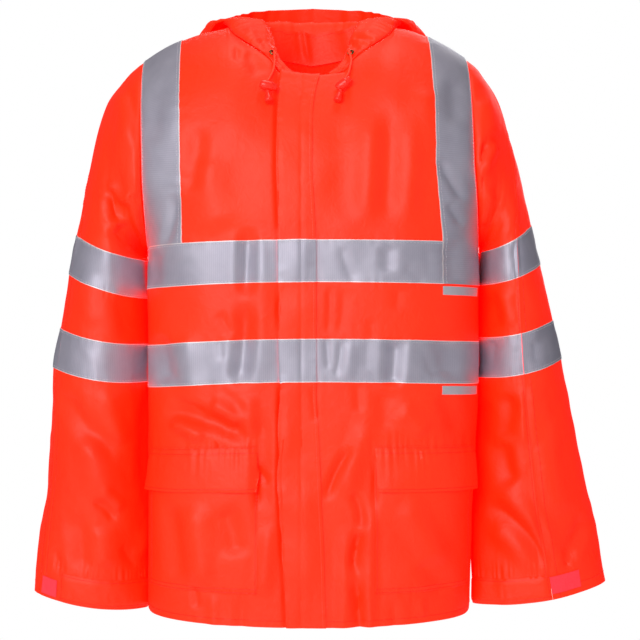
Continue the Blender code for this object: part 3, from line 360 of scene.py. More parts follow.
# Creases by their places in the camera's picture, in its pixels: from, to and how far they bow; then how wide they
# are and how far out they stand, in metres. One pixel is this long on the fronts and on the sleeves.
PICTURE_MIDDLE = 320
PIXEL = 0.00115
SLEEVE_PIXEL = 0.0011825
FRONT_CREASES = (
    (197, 120, 188, 198, 3, 0.0110, -0.0035),
    (205, 150, 222, 236, -4, 0.0260, 0.0040),
    (158, 70, 150, 150, 0, 0.0120, -0.0020),
    (174, 192, 162, 250, 2, 0.0060, -0.0034),
    (235, 38, 236, 58, 0, 0.0050, -0.0022),
    (244, 45, 260, 72, 1, 0.0090, -0.0020),
    (248, 225, 246, 300, 0, 0.0095, -0.0048),
    (245, 300, 236, 392, 3, 0.0105, -0.0052),
    (262, 230, 262, 400, 0, 0.0120, 0.0020),
    (151, 246, 150, 289, 0, 0.0090, -0.0030),
    (154, 333, 165, 387, 2, 0.0095, -0.0044),
    (182, 330, 190, 400, 2, 0.0120, 0.0030),
    (219, 338, 222, 362, 0, 0.0050, -0.0020),
    (217, 312, 231, 338, 2, 0.0060, -0.0018),
    (157, 411, 256, 440, 5, 0.0095, -0.0056),
    (167, 421, 205, 442, 3, 0.0085, 0.0046),
    (209, 402, 240, 428, 3, 0.0095, 0.0048),
    (165, 400, 209, 416, 3, 0.0065, -0.0032),
    (248, 392, 250, 440, 0, 0.0090, 0.0028),
    (262, 405, 266, 520, -2, 0.0100, -0.0030),
    (270, 520, 262, 600, 0, 0.0090, 0.0030),
    (192, 500, 202, 592, 2, 0.0120, 0.0050),
    (222, 505, 236, 560, 2, 0.0140, -0.0046),
    (166, 500, 176, 590, 2, 0.0100, -0.0034),
    (192, 584, 197, 612, 0, 0.0050, -0.0024),
    (212, 590, 215, 656, 0, 0.0065, 0.0020),
    (240, 592, 243, 656, 0, 0.0075, -0.0022),
    (255, 466, 268, 486, 1, 0.0055, -0.0026),
    (300, 230, 296, 330, 2, 0.0120, 0.0010),
    (303, 380, 300, 470, 0, 0.0120, -0.0012),
    (341, 244, 357, 284, -3, 0.0060, -0.0030),
    (388, 244, 387, 274, 0, 0.0085, -0.0016),
    (402, 268, 424, 284, 2, 0.0065, -0.0020),
    (428, 243, 430, 282, 0, 0.0080, -0.0014),
    (453, 236, 455, 288, 0, 0.0120, -0.0030),
    (329, 284, 328, 336, 1, 0.0040, -0.0018),
    (343, 286, 338, 338, 2, 0.0070, -0.0014),
    (371, 318, 372, 344, 0, 0.0060, -0.0010),
    (398, 285, 397, 312, 0, 0.0080, -0.0012),
    (326, 336, 329, 372, 0, 0.0045, -0.0036),
    (341, 338, 334, 378, 2, 0.0055, -0.0034),
    (350, 340, 347, 384, 1, 0.0065, 0.0024),
    (367, 338, 366, 372, 0, 0.0060, -0.0018),
    (396, 336, 392, 390, 0, 0.0095, -0.0048),
    (414, 340, 438, 386, 2, 0.0070, -0.0026),
    (442, 334, 444, 380, 0, 0.0170, -0.0040),
    (457, 338, 456, 390, 0, 0.0130, -0.0026),
    (312, 384, 316, 424, 0, 0.0040, -0.0018),
    (357, 380, 359, 414, 0, 0.0060, -0.0018),
    (353, 445, 325, 502, -3, 0.0060, -0.0044),
    (370, 420, 345, 500, -3, 0.0110, 0.0032),
    (386, 388, 383, 434, 0, 0.0120, -0.0026),
    (398, 408, 428, 436, 2, 0.0110, 0.0026),
    (440, 392, 462, 438, 2, 0.0110, -0.0022),
    (352, 490, 362, 530, 3, 0.0060, -0.0040),
    (362, 530, 354, 575, -3, 0.0060, -0.0044),
    (354, 575, 361, 656, 2, 0.0065, -0.0044),
    (370, 500, 369, 656, 0, 0.0080, 0.0034),
    (346, 520, 343, 656, 0, 0.0080, 0.0026),
    (300, 480, 306, 600, 2, 0.0140, 0.0018),
    (400, 500, 442, 570, 3, 0.0140, 0.0030),
    (418, 560, 452, 596, 0, 0.0120, -0.0026),
    (392, 596, 398, 656, 0, 0.0070, -0.0020),
    (420, 598, 424, 620, 0, 0.0060, 0.0018),
    (425, 80, 432, 160, 2, 0.0140, 0.0026),
    (439, 155, 467, 200, -2, 0.0065, -0.0034),
    (448, 202, 463, 226, 1, 0.0060, -0.0022),
    (456, 70, 458, 125, 0, 0.0100, -0.0022),
    (390, 95, 384, 225, 3, 0.0150, -0.0032),
    (372, 110, 366, 230, 2, 0.0130, 0.0024),
    (410, 110, 404, 230, 2, 0.0140, 0.0026),
    (340, 110, 344, 230, 0, 0.0160, -0.0020),
)
# Behind they are placed by their real distances across and up.
BACK_CREASES = (
    (-0.060, -0.230, -0.085, -0.420, 0.006, 0.0160, 0.0044),
    (0.065, -0.250, 0.090, -0.450, -0.006, 0.0170, 0.0042),
    (-0.135, -0.260, -0.145, -0.520, 0.004, 0.0110, -0.0042),
    (0.140, -0.240, 0.130, -0.500, -0.004, 0.0120, -0.0040),
    (0.000, -0.440, -0.010, -0.722, 0.004, 0.0180, 0.0048),
    (-0.100, -0.500, -0.110, -0.722, -0.003, 0.0170, 0.0044),
    (0.105, -0.480, 0.100, -0.722, 0.003, 0.0160, 0.0046),
    (-0.050, -0.420, -0.050, -0.610, 0.004, 0.0100, -0.0036),
    (0.052, -0.430, 0.055, -0.650, -0.004, 0.0100, -0.0038),
    (-0.020, -0.180, 0.030, -0.330, 0.006, 0.0110, -0.0030),
    (-0.170, -0.300, -0.120, -0.360, 0.004, 0.0070, -0.0030),
    (0.172, -0.310, 0.118, -0.372, -0.004, 0.0070, -0.0032),
    (-0.160, -0.430, -0.100, -0.480, 0.004, 0.0080, -0.0030),
    (0.150, -0.440, 0.100, -0.476, -0.004, 0.0090, 0.0030),
    (-0.160, -0.590, -0.148, -0.722, 0.003, 0.0090, -0.0034),
    (0.152, -0.580, 0.140, -0.722, -0.003, 0.0090, -0.0036),
    (0.075, -0.560, 0.078, -0.722, 0.000, 0.0080, -0.0030),
    (-0.062, -0.600, -0.056, -0.722, 0.000, 0.0080, -0.0030),
    (-0.110, -0.170, -0.160, -0.240, 0.005, 0.0100, -0.0034),
    (0.112, -0.160, 0.158, -0.236, -0.005, 0.0100, -0.0032),
    (-0.080, -0.320, -0.020, -0.350, 0.003, 0.0060, -0.0022),
    (0.030, -0.352, 0.085, -0.385, 0.003, 0.0060, -0.0024),
    (-0.030, -0.250, -0.034, -0.296, 0.000, 0.0070, -0.0024),
    (0.028, -0.358, 0.024, -0.408, 0.000, 0.0060, -0.0028),
    (-0.104, -0.350, -0.108, -0.410, 0.000, 0.0080, -0.0030),
    (0.112, -0.246, 0.110, -0.292, 0.000, 0.0070, -0.0026),
)
# On a sleeve they lie in its own front view; its back has those of the other sleeve's front, mirrored.
SLEEVE_CREASES = {
    RIGHT: (
        (125, 80, 141, 156, 4, 0.0070, -0.0045),
        (112, 85, 128, 150, 5, 0.0120, 0.0030),
        (110, 178, 140, 198, -10, 0.0065, 0.0036),
        (113, 186, 122, 222, -4, 0.0080, -0.0044),
        (130, 198, 143, 202, 0, 0.0040, -0.0032),
        (118, 222, 150, 252, -5, 0.0120, -0.0050),
        (100, 192, 112, 240, -3, 0.0100, 0.0024),
        (58, 388, 122, 456, -6, 0.0120, -0.0056),
        (90, 430, 112, 500, -4, 0.0160, 0.0040),
        (106, 385, 126, 448, -4, 0.0110, 0.0036),
        (92, 501, 116, 522, 3, 0.0050, -0.0034),
        (98, 490, 122, 512, 3, 0.0070, 0.0028),
        (75, 512, 82, 575, 2, 0.0120, -0.0038),
        (52, 548, 60, 575, 0, 0.0060, -0.0024),
        (104, 525, 106, 570, 0, 0.0160, 0.0034),
        (144, 392, 146, 500, 0, 0.0090, -0.0040),
        (146, 480, 138, 540, 2, 0.0070, -0.0026),
        (146, 500, 140, 565, 2, 0.0080, 0.0026),
        (120, 545, 136, 572, 0, 0.0060, -0.0020),
        (84, 270, 90, 330, 2, 0.0120, 0.0020),
        (118, 290, 124, 345, 2, 0.0100, -0.0022),
    ),
    LEFT: (
        (478, 80, 476, 106, 0, 0.0080, -0.0030),
        (483, 95, 493, 140, 2, 0.0100, 0.0024),
        (488, 142, 473, 168, 1, 0.0045, -0.0054),
        (496, 142, 482, 172, 1, 0.0060, 0.0034),
        (484, 176, 475, 198, 1, 0.0070, -0.0038),
        (492, 190, 484, 228, 1, 0.0110, 0.0028),
        (500, 206, 496, 232, 0, 0.0080, -0.0016),
        (506, 392, 502, 440, 2, 0.0130, -0.0050),
        (502, 440, 516, 486, -4, 0.0100, -0.0046),
        (488, 484, 552, 560, 10, 0.0120, 0.0044),
        (486, 505, 550, 572, 10, 0.0080, -0.0050),
        (488, 530, 530, 574, 8, 0.0100, 0.0032),
        (588, 514, 560, 562, 4, 0.0090, -0.0032),
        (574, 548, 566, 572, 0, 0.0060, -0.0022),
        (540, 430, 566, 520, -5, 0.0160, 0.0030),
        (486, 396, 484, 450, 0, 0.0085, -0.0034),
        (520, 385, 532, 450, -2, 0.0120, 0.0026),
        (488, 290, 497, 330, 1, 0.0100, -0.0030),
        (503, 288, 508, 330, 0, 0.0090, 0.0022),
        (494, 338, 492, 372, 0, 0.0070, -0.0020),
        (533, 338, 535, 365, 0, 0.0070, -0.0020),
    ),
}

CORDS = {
    RIGHT: {
        "route": ((-0.0455, -0.0335), (-0.0458, -0.0410), (-0.0475, -0.0500)),
        "toggle": (-0.0520, -0.0682),
        "lean": -0.12,
        "aside": -0.0020,
    },
    LEFT: {
        "route": ((0.0475, -0.0330), (0.0465, -0.0410), (0.0452, -0.0480)),
        "toggle": (0.0415, -0.0650),
        "lean": 0.55,
        "aside": -0.0015,
    },
}


def curve(at, places, values):
    """A smooth curve through the values that never overshoots them."""
    order = np.argsort(places)
    x = np.asarray(places, float)[order]
    y = np.asarray(values, float)[order]
    step = np.diff(x)
    slope = np.diff(y) / step
    alike = slope[:-1] * slope[1:] > 0
    total = np.where(alike, slope[:-1] + slope[1:], 1.0)
    inner = np.where(alike, 2 * slope[:-1] * slope[1:] / total, 0.0)
    lean = np.concatenate([slope[:1], inner, slope[-1:]])
    i = np.clip(np.searchsorted(x, at) - 1, 0, len(step) - 1)
    t = np.clip((at - x[i]) / step[i], 0.0, 1.0)
    start = y[i] * (1 + 2 * t) + lean[i] * step[i] * t
    end = y[i + 1] * (3 - 2 * t) + lean[i + 1] * step[i] * (t - 1)
    return start * (1 - t) ** 2 + end * t * t


def read(rows, name, at):
    """A column of a table, at places given in its first column."""
    return curve(at, rows[next(iter(rows))], rows[name])


def smooth_step(value):
    """Eases from 0 to 1 as the value goes from 0 to 1."""
    t = np.clip(value, 0.0, 1.0)
    return t * t * (3 - 2 * t)


def neck_seam(face, x):
    """The neck seam's y and z at a distance from the centre line."""
    turn = np.arcsin(np.clip(np.abs(x) / NECK_HALF_WIDTH, 0.0, 1.0))
    y = NECK_CENTRE_Y + face * NECK_HALF_DEPTH * np.cos(turn)
    degrees = np.degrees(turn)
    return y, read(NECK, "height", degrees if face == FRONT else 180 - degrees)


def side_turn(face, height):
    """How far round its ring a level ends: a quarter at the side seam, less where the armhole cuts in."""
    up = np.clip((height - ARMPIT) / (CHEST - ARMPIT), 0.0, 1.0)
    reach = ARMHOLE_REACH[face] * np.sqrt(1 - (1 - up) ** 2)
    return np.arccos(reach ** (1 / ROUNDNESS[face]))


def plain_torso(side, face, across, height):
    """The torso before its creases. Across runs from the centre line to EDGE, at the side or armhole."""
    across, height = np.broadcast_arrays(np.asarray(across, float), np.asarray(height, float))
    low = np.minimum(height, CHEST)
    roundness = ROUNDNESS[face]
    turn = side_turn(face, low)
    edge_low = read(TORSO, SIDE_NAME[side], low)
    edge = read(TORSO, SIDE_NAME[side], height)
    half_width = edge_low / np.sin(turn) ** roundness
    depth = read(TORSO, FACE_NAME[face], low)

    to_brace = (across - NECK_HALF_WIDTH) / (BRACE_INNER - NECK_HALF_WIDTH)
    past_brace = np.maximum((across - BRACE_INNER) / (EDGE - BRACE_INNER), 0.0)

    def inner_x(outer):
        reach = NECK_HALF_WIDTH + to_brace * (outer - BRACE_SHOWN - NECK_HALF_WIDTH)
        return np.where(across <= NECK_HALF_WIDTH, across, reach)

    brace_low = edge_low - BRACE_SHOWN
    brace_turn = np.arcsin(np.clip(brace_low / half_width, 0, 1) ** (1 / roundness))
    ring_turn = brace_turn + past_brace * (turn - brace_turn)
    ring_x = half_width * np.abs(np.sin(ring_turn)) ** roundness
    x_low = np.where(across > BRACE_INNER, ring_x, inner_x(edge_low))
    share = np.clip(np.abs(x_low) / half_width, 0, 1) ** (1 / roundness)
    bow = np.sqrt(1 - share**2) ** roundness
    turned = np.sign(np.cos(ring_turn)) * np.abs(np.cos(ring_turn)) ** roundness
    y_low = face * depth * np.where(across > BRACE_INNER, turned, bow)

    spread = np.where(across > BRACE_INNER, (ring_x - brace_low) / BRACE_SHOWN, 0.0)
    x_high = np.where(across > BRACE_INNER, edge - BRACE_SHOWN + spread * BRACE_SHOWN, inner_x(edge))
    tip = read(TORSO, SIDE_NAME[side], 0.0)
    x_top = np.where(
        across > BRACE_INNER, tip - BRACE_SHOWN + spread * BRACE_SHOWN, inner_x(tip)
    )
    neck_y, neck_z = neck_seam(face, x_top)
    along = np.clip((x_top - NECK_HALF_WIDTH) / (tip - NECK_HALF_WIDTH), 0.0, 1.1)
    neck_side = read(NECK, "height", 90.0)
    fall = neck_side - SHOULDER_TIP_HEIGHT[side]
    on_neck = x_top <= NECK_HALF_WIDTH
    top_y = np.where(on_neck, neck_y, NECK_CENTRE_Y + along * (SHOULDER_TIP_Y - NECK_CENTRE_Y))
    top_z = np.where(on_neck, neck_z, neck_side - fall * read(SHOULDER, "fall", along))

    climb = np.maximum((height - CHEST) / -CHEST, 0.0)
    arc = climb * np.pi / 2
    round_share = 0.2 + 0.8 * smooth_step((np.abs(x_top) - 0.04) / 0.065)
    back_share = round_share * (1 - np.cos(arc)) + (1 - round_share) * climb**1.3
    up_share = round_share * np.sin(arc) + (1 - round_share) * climb
    sink = read(TORSO, "sink_" + SIDE_NAME[side], height) * (np.abs(x_low) / EDGE) ** 2
    x = side * np.where(height > CHEST, x_high, x_low)
    y = y_low + (top_y - y_low) * back_share
    z = low - sink + (top_z - CHEST) * up_share
    return np.stack([x, y, z], axis=-1)


def armhole(side, turn):
    """The armhole's edge at a turn in degrees: 0 at the shoulder tip, 180 under the arm, minus behind."""
    turn = (np.asarray(turn, float) + 180) % 360 - 180
    height = ARMPIT * (1 - np.cos(np.radians(turn))) / 2
    front = plain_torso(side, FRONT, EDGE, height)
    back = plain_torso(side, BACK, EDGE, height)
    edge = np.where(turn[..., None] >= 0, front, back)
    return edge + np.array([side * SEAM, 0, 0])


def plain_sleeve(side, turn, height):
    """A sleeve before its creases, with its cap let into the armhole."""
    turn, height = np.broadcast_arrays(np.asarray(turn, float), np.asarray(height, float))
    rows = SLEEVE[side]

    def section(at):
        out, inside = read(rows, "out", at), read(rows, "inside", at)
        inside_height = read(rows, "inside_height", at)
        over, ahead = np.cos(np.radians(turn)), np.sin(np.radians(turn))
        x = side * ((out + inside) / 2 + over * (out - inside) / 2)
        y = read(rows, "middle", at) - ahead * read(rows, "depth", at)
        z = (at + inside_height) / 2 + over * (at - inside_height) / 2 - SLEEVE_SAG * ahead**2
        return np.stack([x, y, z], axis=-1)

    top = np.full(turn.shape, rows["height"][0])
    drop = section(top)
    still = 1 - smooth_step((top - height) / CAP_BLEND)
    return section(height) + (armhole(side, turn) - drop) * still[..., None]


def hood(turn, place):
    """The hood's outside. Its turn in degrees is 0 in front, 180 behind and minus on the right."""
    turn, place = np.broadcast_arrays(np.asarray(turn, float), np.asarray(place, float))
    side = np.where(turn < 0, -1.0, 1.0)
    size = np.abs(turn)
    angle = np.radians(size)
    foot_x = NECK_HALF_WIDTH * np.sin(angle)
    foot_y = NECK_CENTRE_Y - NECK_HALF_DEPTH * np.cos(angle)
    corner_rise = HOOD_CORNER_RISE * smooth_step((28 - size) / 16)
    tuck = smooth_step((26 - size) / 14)
    foot_z = read(NECK, "height", size) + HOOD_FOOT_RISE + corner_rise
    outs = [np.zeros(size.shape)] + [read(HOOD, name + "_out", size) for name in HOOD_STATIONS]
    heights = [foot_z] + [read(HOOD, name + "_z", size) for name in HOOD_STATIONS]
    out = np.empty(size.shape)
    height = np.empty(size.shape)
    for k in np.ndindex(size.shape):
        out[k] = curve(place[k], HOOD_PLACES, [column[k] for column in outs])
        height[k] = curve(place[k], HOOD_PLACES, [column[k] for column in heights])
    out = out - HOOD_TUCK[0] * tuck
    x = side * (foot_x + out * np.sin(angle))
    return np.stack([x, foot_y - out * np.cos(angle), height - HOOD_TUCK[1] * tuck], axis=-1)


def filled(marks, step):
    """The marks in order, with even places between them no further apart than a step."""
    places = [marks[0]]
    for start, end in zip(marks, marks[1:]):
        count = max(1, math.ceil(abs(end - start) / step - 1e-6))
        places += [start + (end - start) * k / count for k in range(1, count + 1)]
    return np.array(places)


def normals_of(points, outward):
    """Unit normals of a grid of points; outward is 1 or -1, for whichever way the grid turns."""
    normal = np.cross(np.gradient(points, axis=1), np.gradient(points, axis=0))
    length = np.linalg.norm(normal, axis=-1, keepdims=True)
    return outward * normal / np.maximum(length, 1e-12)


def in_picture(rows, pixel):
    """Creases placed in the camera's picture, in metres across and up."""
    across, up = CAMERA_PLACE[0] - PICTURE_MIDDLE * pixel, CAMERA_PLACE[2] + PICTURE_MIDDLE * pixel
    return [
        (across + x0 * pixel, up - y0 * pixel, across + x1 * pixel, up - y1 * pixel, bow * pixel, reach, rise)
        for x0, y0, x1, y1, bow, reach, rise in rows
    ]


def crease_height(rows, x, z):
    """How far the creases lift the cloth: each is a bowed line that tapers at its ends, with banks beside it."""
    total = np.zeros(x.shape)
    t = np.linspace(0, 1, CREASE_POINTS)
    for x0, z0, x1, z1, bow, reach, rise in rows:
        length = math.hypot(x1 - x0, z1 - z0)
        px = x0 + (x1 - x0) * t - (z1 - z0) / length * bow * 4 * t * (1 - t)
        pz = z0 + (z1 - z0) * t + (x1 - x0) / length * bow * 4 * t * (1 - t)
        near = (x > px.min() - 3 * reach) & (x < px.max() + 3 * reach)
        near &= (z > pz.min() - 3 * reach) & (z < pz.max() + 3 * reach)
        if not near.any():
            continue
        qx, qz = x[near], z[near]
        best = np.full(qx.shape, np.inf)
        at = np.zeros(qx.shape)
        for k in range(CREASE_POINTS - 1):
            dx, dz = px[k + 1] - px[k], pz[k + 1] - pz[k]
            s = np.clip(((qx - px[k]) * dx + (qz - pz[k]) * dz) / (dx * dx + dz * dz), 0, 1)
            far = (qx - px[k] - s * dx) ** 2 + (qz - pz[k] - s * dz) ** 2
            closer = far < best
            best = np.where(closer, far, best)
            at = np.where(closer, (k + s) / (CREASE_POINTS - 1), at)
        off = np.sqrt(best) / reach
        taper = smooth_step(at / 0.24) * smooth_step((1 - at) / 0.24)
        sharp = rise < 0 and reach < WIDE
        form = np.exp(0.25 - 1.25 * np.sqrt(off**2 + 0.04)) if sharp else np.exp(-(off**2))
        bank = 0.12 * np.exp(-(((off - 1.7) / 0.6) ** 2))
        total[near] += rise * taper * (form - bank)
    return total


def crumple(x, z, seed, size, rise):
    """Soft uneven waves: a few crossing ripples, each bent by a slower one."""
    rng = np.random.default_rng(seed)
    total = np.zeros(np.broadcast(x, z).shape)
    for _ in range(6):
        angle, bend, phase, slow = rng.uniform(0, 2 * np.pi, 4)
        long = size * rng.uniform(0.7, 1.7)
        along = x * np.cos(angle) + z * np.sin(angle)
        beside = z * np.cos(angle) - x * np.sin(angle)
        warp = 1.4 * np.sin(2 * np.pi * beside / (2.3 * long) + bend)
        total += np.sin(2 * np.pi * along / long + warp + phase) * (0.6 + 0.4 * np.sin(along / long + slow))
    return rise * total / 2.4


def puckers(along, off, seed, pitch, reach, rise):
    """Small uneven gathers beside a row of stitching: how far along it and how far off it."""
    phase = np.random.default_rng(seed).uniform(0, 2 * np.pi, 3)
    bend = 1.3 * np.sin(2 * np.pi * along / (3.1 * pitch) + phase[0])
    wave = np.sin(2 * np.pi * along / pitch + bend + phase[1])
    swell = 0.55 + 0.45 * np.sin(2 * np.pi * along / (5.3 * pitch) + phase[2])
    return rise * swell * wave * np.exp(-((off / reach) ** 2))


def rolled(distance):
    """How far a cut edge rolls in, by how far a place lies from it."""
    return -ROLL * np.exp(-((distance / ROLL_REACH) ** 2))


def front_marks(side):
    """Where a front has a column for certain, from its own edge out to the side."""
    start = FRONT_EDGE + SEAM / 2 if side == RIGHT else -FRONT_EDGE + SEAM / 2
    inner = (start, FLAP_FREE_EDGE) if side == RIGHT else (start, FLAP_STITCH_EDGE, FLAP_FREE_EDGE)
    pocket = (POCKET_EDGE[side] - POCKET_FLAP_OVERHANG, POCKET_EDGE[side])
    return inner + pocket + OUTER_MARKS


def eased(points, across, height):
    """The cloth hangs smoothly from the corner where neck and shoulder seams meet: each point there takes the
    mean of its neighbours across, more of it the further it is from the seam."""
    share = smooth_step((-height - 0.008) / 0.045) * smooth_step((height - CHEST - 0.01) / 0.05)
    share = share * np.exp(-(((across - NECK_HALF_WIDTH) / 0.035) ** 2))
    columns = across[0]
    near = np.exp(-(((columns[:, None] - columns) / 0.013) ** 2)) * np.gradient(columns)
    near /= near.sum(axis=1, keepdims=True)
    mean = np.einsum("cd,rdk->rck", near, points)
    mean[..., 0] = points[..., 0]
    return points + (mean - points) * share[..., None]


def calmed(height, *tapes):
    """How much of a crease is left where tape is sewn on: it holds the cloth flatter."""
    left = np.ones(np.shape(height))
    for low, high in tapes:
        from_low = (height - low + TAPE_CALM_REACH) / (2 * TAPE_CALM_REACH)
        from_high = (high + TAPE_CALM_REACH - height) / (2 * TAPE_CALM_REACH)
        left -= TAPE_CALM * smooth_step(from_low) * smooth_step(from_high)
    return left


def pocket_trough(side, across, height):
    """How deep a front dips beside the inner edge of its pocket's flap, most at the flap's free corner."""
    u, v = np.meshgrid(across, height)
    beside = np.exp(-(((u - POCKET_EDGE[side] - 0.0005) / POCKET_TROUGH_REACH) ** 2))
    down = smooth_step((POCKET_FLAP_TOP - 0.004 - v) / 0.040) * smooth_step((v - POCKET_FLAP_BOTTOM + 0.022) / 0.018)
    return POCKET_TROUGH[side] * beside * down


def flap_trough(x, height):
    """How deep the right front dips beside the storm flap's free edge."""
    edge = read(FLAP_EDGES, "free", height)
    deep = read(FLAP_TROUGH, "deep", height)
    return deep * np.exp(-(((x - edge - 0.0016) / TROUGH_REACH) ** 2))


def torso_panel(side, face):
    """One front, or one half of the back, with its creases and the gathers beside its seams."""
    if face == FRONT:
        across, heights = filled(front_marks(side), FRONT_STEP), filled(BODY_MARKS, ROW_STEP)
    else:
        across, heights = filled(BACK_MARKS, BACK_STEP), filled(BODY_MARKS, BACK_STEP)
    u, v = np.meshgrid(across, heights)
    points = plain_torso(side, face, u, v) + np.array([0, face * SEAM / 2, 0])
    points = eased(points, u, v)
    normals = normals_of(points, -side * face)
    points[..., 2] += HEM_CORNER * smooth_step((u - 0.172) / 0.028) ** 2 * smooth_step((-0.640 - v) / 0.05)
    x, z = points[..., 0], points[..., 2]
    creases = in_picture(FRONT_CREASES, PIXEL) if face == FRONT else BACK_CREASES
    wide = [row for row in creases if row[5] >= WIDE]
    narrow = [row for row in creases if row[5] < WIDE]
    lift = WIDE_GAIN * crease_height(wide, x, z)
    lift += NARROW_GAIN * crease_height(narrow, x, z) * calmed(v, UPPER_BAND, LOWER_BAND)
    lift += sum(crumple(x, z, seed + face, size, rise) for seed, size, rise in BODY_WAVES)
    for k, height in enumerate(UPPER_BAND + LOWER_BAND + (HEM + 0.008,)):
        lift += puckers(x, v - height, 20 + k + 5 * side, 0.0135, 0.008, 0.00020)
    if face == FRONT:
        lift += puckers(z, u - BRACE_INNER, 40 + side, 0.017, 0.012, 0.00055) * smooth_step((v + 0.30) / 0.02)
        lift += puckers(x, v - POCKET_FLAP_TOP, 44 + side, 0.0075, 0.013, 0.0011) * smooth_step((u - 0.055) / 0.02)
        lift += puckers(x, v - POCKET_BOTTOM, 46 + side, 0.0115, 0.008, 0.00045)
        lift -= flap_trough(x, v) + pocket_trough(side, across, heights)
    else:
        beside = np.exp(-(((u - BACK_SIDE) / 0.0065) ** 2)) * smooth_step((ARMPIT - v - 0.004) / 0.02)
        lift += 0.0042 * beside
    lift *= smooth_step((EDGE - u) / PANEL_FADE) * smooth_step(-v / (PANEL_FADE * 1.6))
    lift += BODY_LEAN * smooth_step((u - EDGE + 0.03) / 0.02) * smooth_step((ARMPIT - v) / 0.03)
    lift += rolled(EDGE - u) * smooth_step((v - ARMPIT) / 0.01) + rolled(-v)
    if face == FRONT:
        lift += rolled(u - across[0])
    points = points + normals * lift[..., None]
    return Panel(points, normals_of(points, -side * face), across, heights)


def to_body(side, height):
    """How far a sleeve's inner side leans over to the body beside it, where the two all but touch."""
    rows = SLEEVE[side]
    body = read(TORSO, SIDE_NAME[side], read(rows, "inside_height", height)) + BODY_LEAN
    gap = read(rows, "inside", height) - body - BODY_CLEARANCE
    return np.clip(gap, 0.0, MOST_LEAN) * smooth_step((ARMPIT - height - 0.004) / 0.03)


def sleeve_panel(side, face):
    """One half of a sleeve with its creases. Its front view decides where each crease lies."""
    rows = SLEEVE[side]
    top, cuff = rows["height"][0], rows["height"][-1]
    shares = filled(SLEEVE_SHARES, 0.0115)
    bands = SLEEVE_UPPER_BAND[side] + SLEEVE_LOWER_BAND[side] + CUFF_TAB[side] + CUFF_PATCH[side]
    bands = sorted(bands, reverse=True)
    marks = [top, top - 0.0012, top - 0.003, top - 0.008] + bands + [cuff + 0.0015, cuff]
    heights = filled(marks, SLEEVE_STEP)
    share, height = np.meshgrid(shares, heights)
    seam = read(rows, "seam", height)
    clear = np.degrees(SEAM / 2 / 0.055) * smooth_step((top - height) / 0.05)
    start, end = (seam + clear, 180 - clear) if face == FRONT else (seam - clear, -180 + clear)
    turn = start + (end - start) * share
    shift = np.array([0, face * SEAM / 2, 0])
    points = plain_sleeve(side, turn, height) + shift * (1 - smooth_step(clear[..., None] / clear.max()))
    normals = normals_of(points, -side * face)
    x, z = points[..., 0], points[..., 2]
    ahead = np.sin(np.radians(turn))
    other = in_picture(SLEEVE_CREASES[-side], SLEEVE_PIXEL)
    mirrored = [(-x0, z0, -x1, z1, -bow, reach, rise) for x0, z0, x1, z1, bow, reach, rise in other]
    lift = crease_height(in_picture(SLEEVE_CREASES[side], SLEEVE_PIXEL), x, z) * smooth_step(ahead / 0.45)
    lift += crease_height(mirrored, x, z) * smooth_step(-ahead / 0.45)
    lift *= SLEEVE_GAIN
    round_about = np.radians(turn) * 0.07
    lift += sum(crumple(round_about, height, seed + side, size, rise) for seed, size, rise in SLEEVE_WAVES)
    for k, at in enumerate(SLEEVE_UPPER_BAND[side] + SLEEVE_LOWER_BAND[side] + (cuff + CUFF_ROW,)):
        lift += puckers(round_about, height - at, 70 + k + 5 * side, 0.0125, 0.008, 0.00025)
    over_tab = height - CUFF_TAB[side][1]
    above = np.where(height > CUFF_TAB[side][1], 1.0, 0.0)
    lift += puckers(round_about, over_tab, 84 + side, 0.0080, 0.013, 0.0013) * smooth_step(ahead / 0.3) * above
    to_seam = np.abs(turn - seam) * METRES_A_DEGREE
    to_inner = (180 - np.abs(turn)) * METRES_A_DEGREE
    lift += puckers(height, to_seam, 90 + side, 0.014, 0.010, 0.00045)
    lift *= smooth_step((top - height) / 0.020) * smooth_step(to_seam / 0.008) * smooth_step(to_inner / 0.008)
    edges = rolled(to_inner) * smooth_step((height - ARMPIT + 0.02) / 0.02) + rolled(top - height)
    lift += edges + SEAM_RISE * np.exp(-((to_seam / SEAM_REACH) ** 2))
    lift += to_body(side, height) * smooth_step((np.abs(turn) - 138) / 34)
    points = points + normals * lift[..., None]
    return Panel(points, normals_of(points, -side * face), shares, heights)


def crop(panel, across=(-9, 9), heights=(-9, 9)):
    """The part of a panel between two of its columns and two of its rows."""
    columns = (panel.across >= across[0] - 1e-7) & (panel.across <= across[1] + 1e-7)
    rows = (panel.heights >= heights[0] - 1e-7) & (panel.heights <= heights[1] + 1e-7)
    part = np.ix_(rows, columns)
    return Panel(panel.points[part], panel.normals[part], panel.across[columns], panel.heights[rows])


def raised(panel, lift):
    """A panel moved out along its normals."""
    lift = np.broadcast_to(np.asarray(lift, float), panel.points.shape[:2])[..., None]
    return panel._replace(points=panel.points + panel.normals * lift)


def joined(first, second, axis):
    """Two panels side by side, or one above the other; the second carries on the first one's places."""
    points = np.concatenate([first.points, second.points], axis=axis)
    normals = np.concatenate([first.normals, second.normals], axis=axis)
    if axis:
        return Panel(points, normals, np.concatenate([first.across, second.across]), first.heights)
    return Panel(points, normals, first.across, np.concatenate([first.heights, second.heights]))


def flipped(panel, axis):
    """A panel with its columns or rows the other way round, their places counted below nought."""
    points, normals = np.flip(panel.points, axis), np.flip(panel.normals, axis)
    if axis:
        return Panel(points, normals, -panel.across[::-1], panel.heights)
    return Panel(points, normals, panel.across, -panel.heights[::-1])


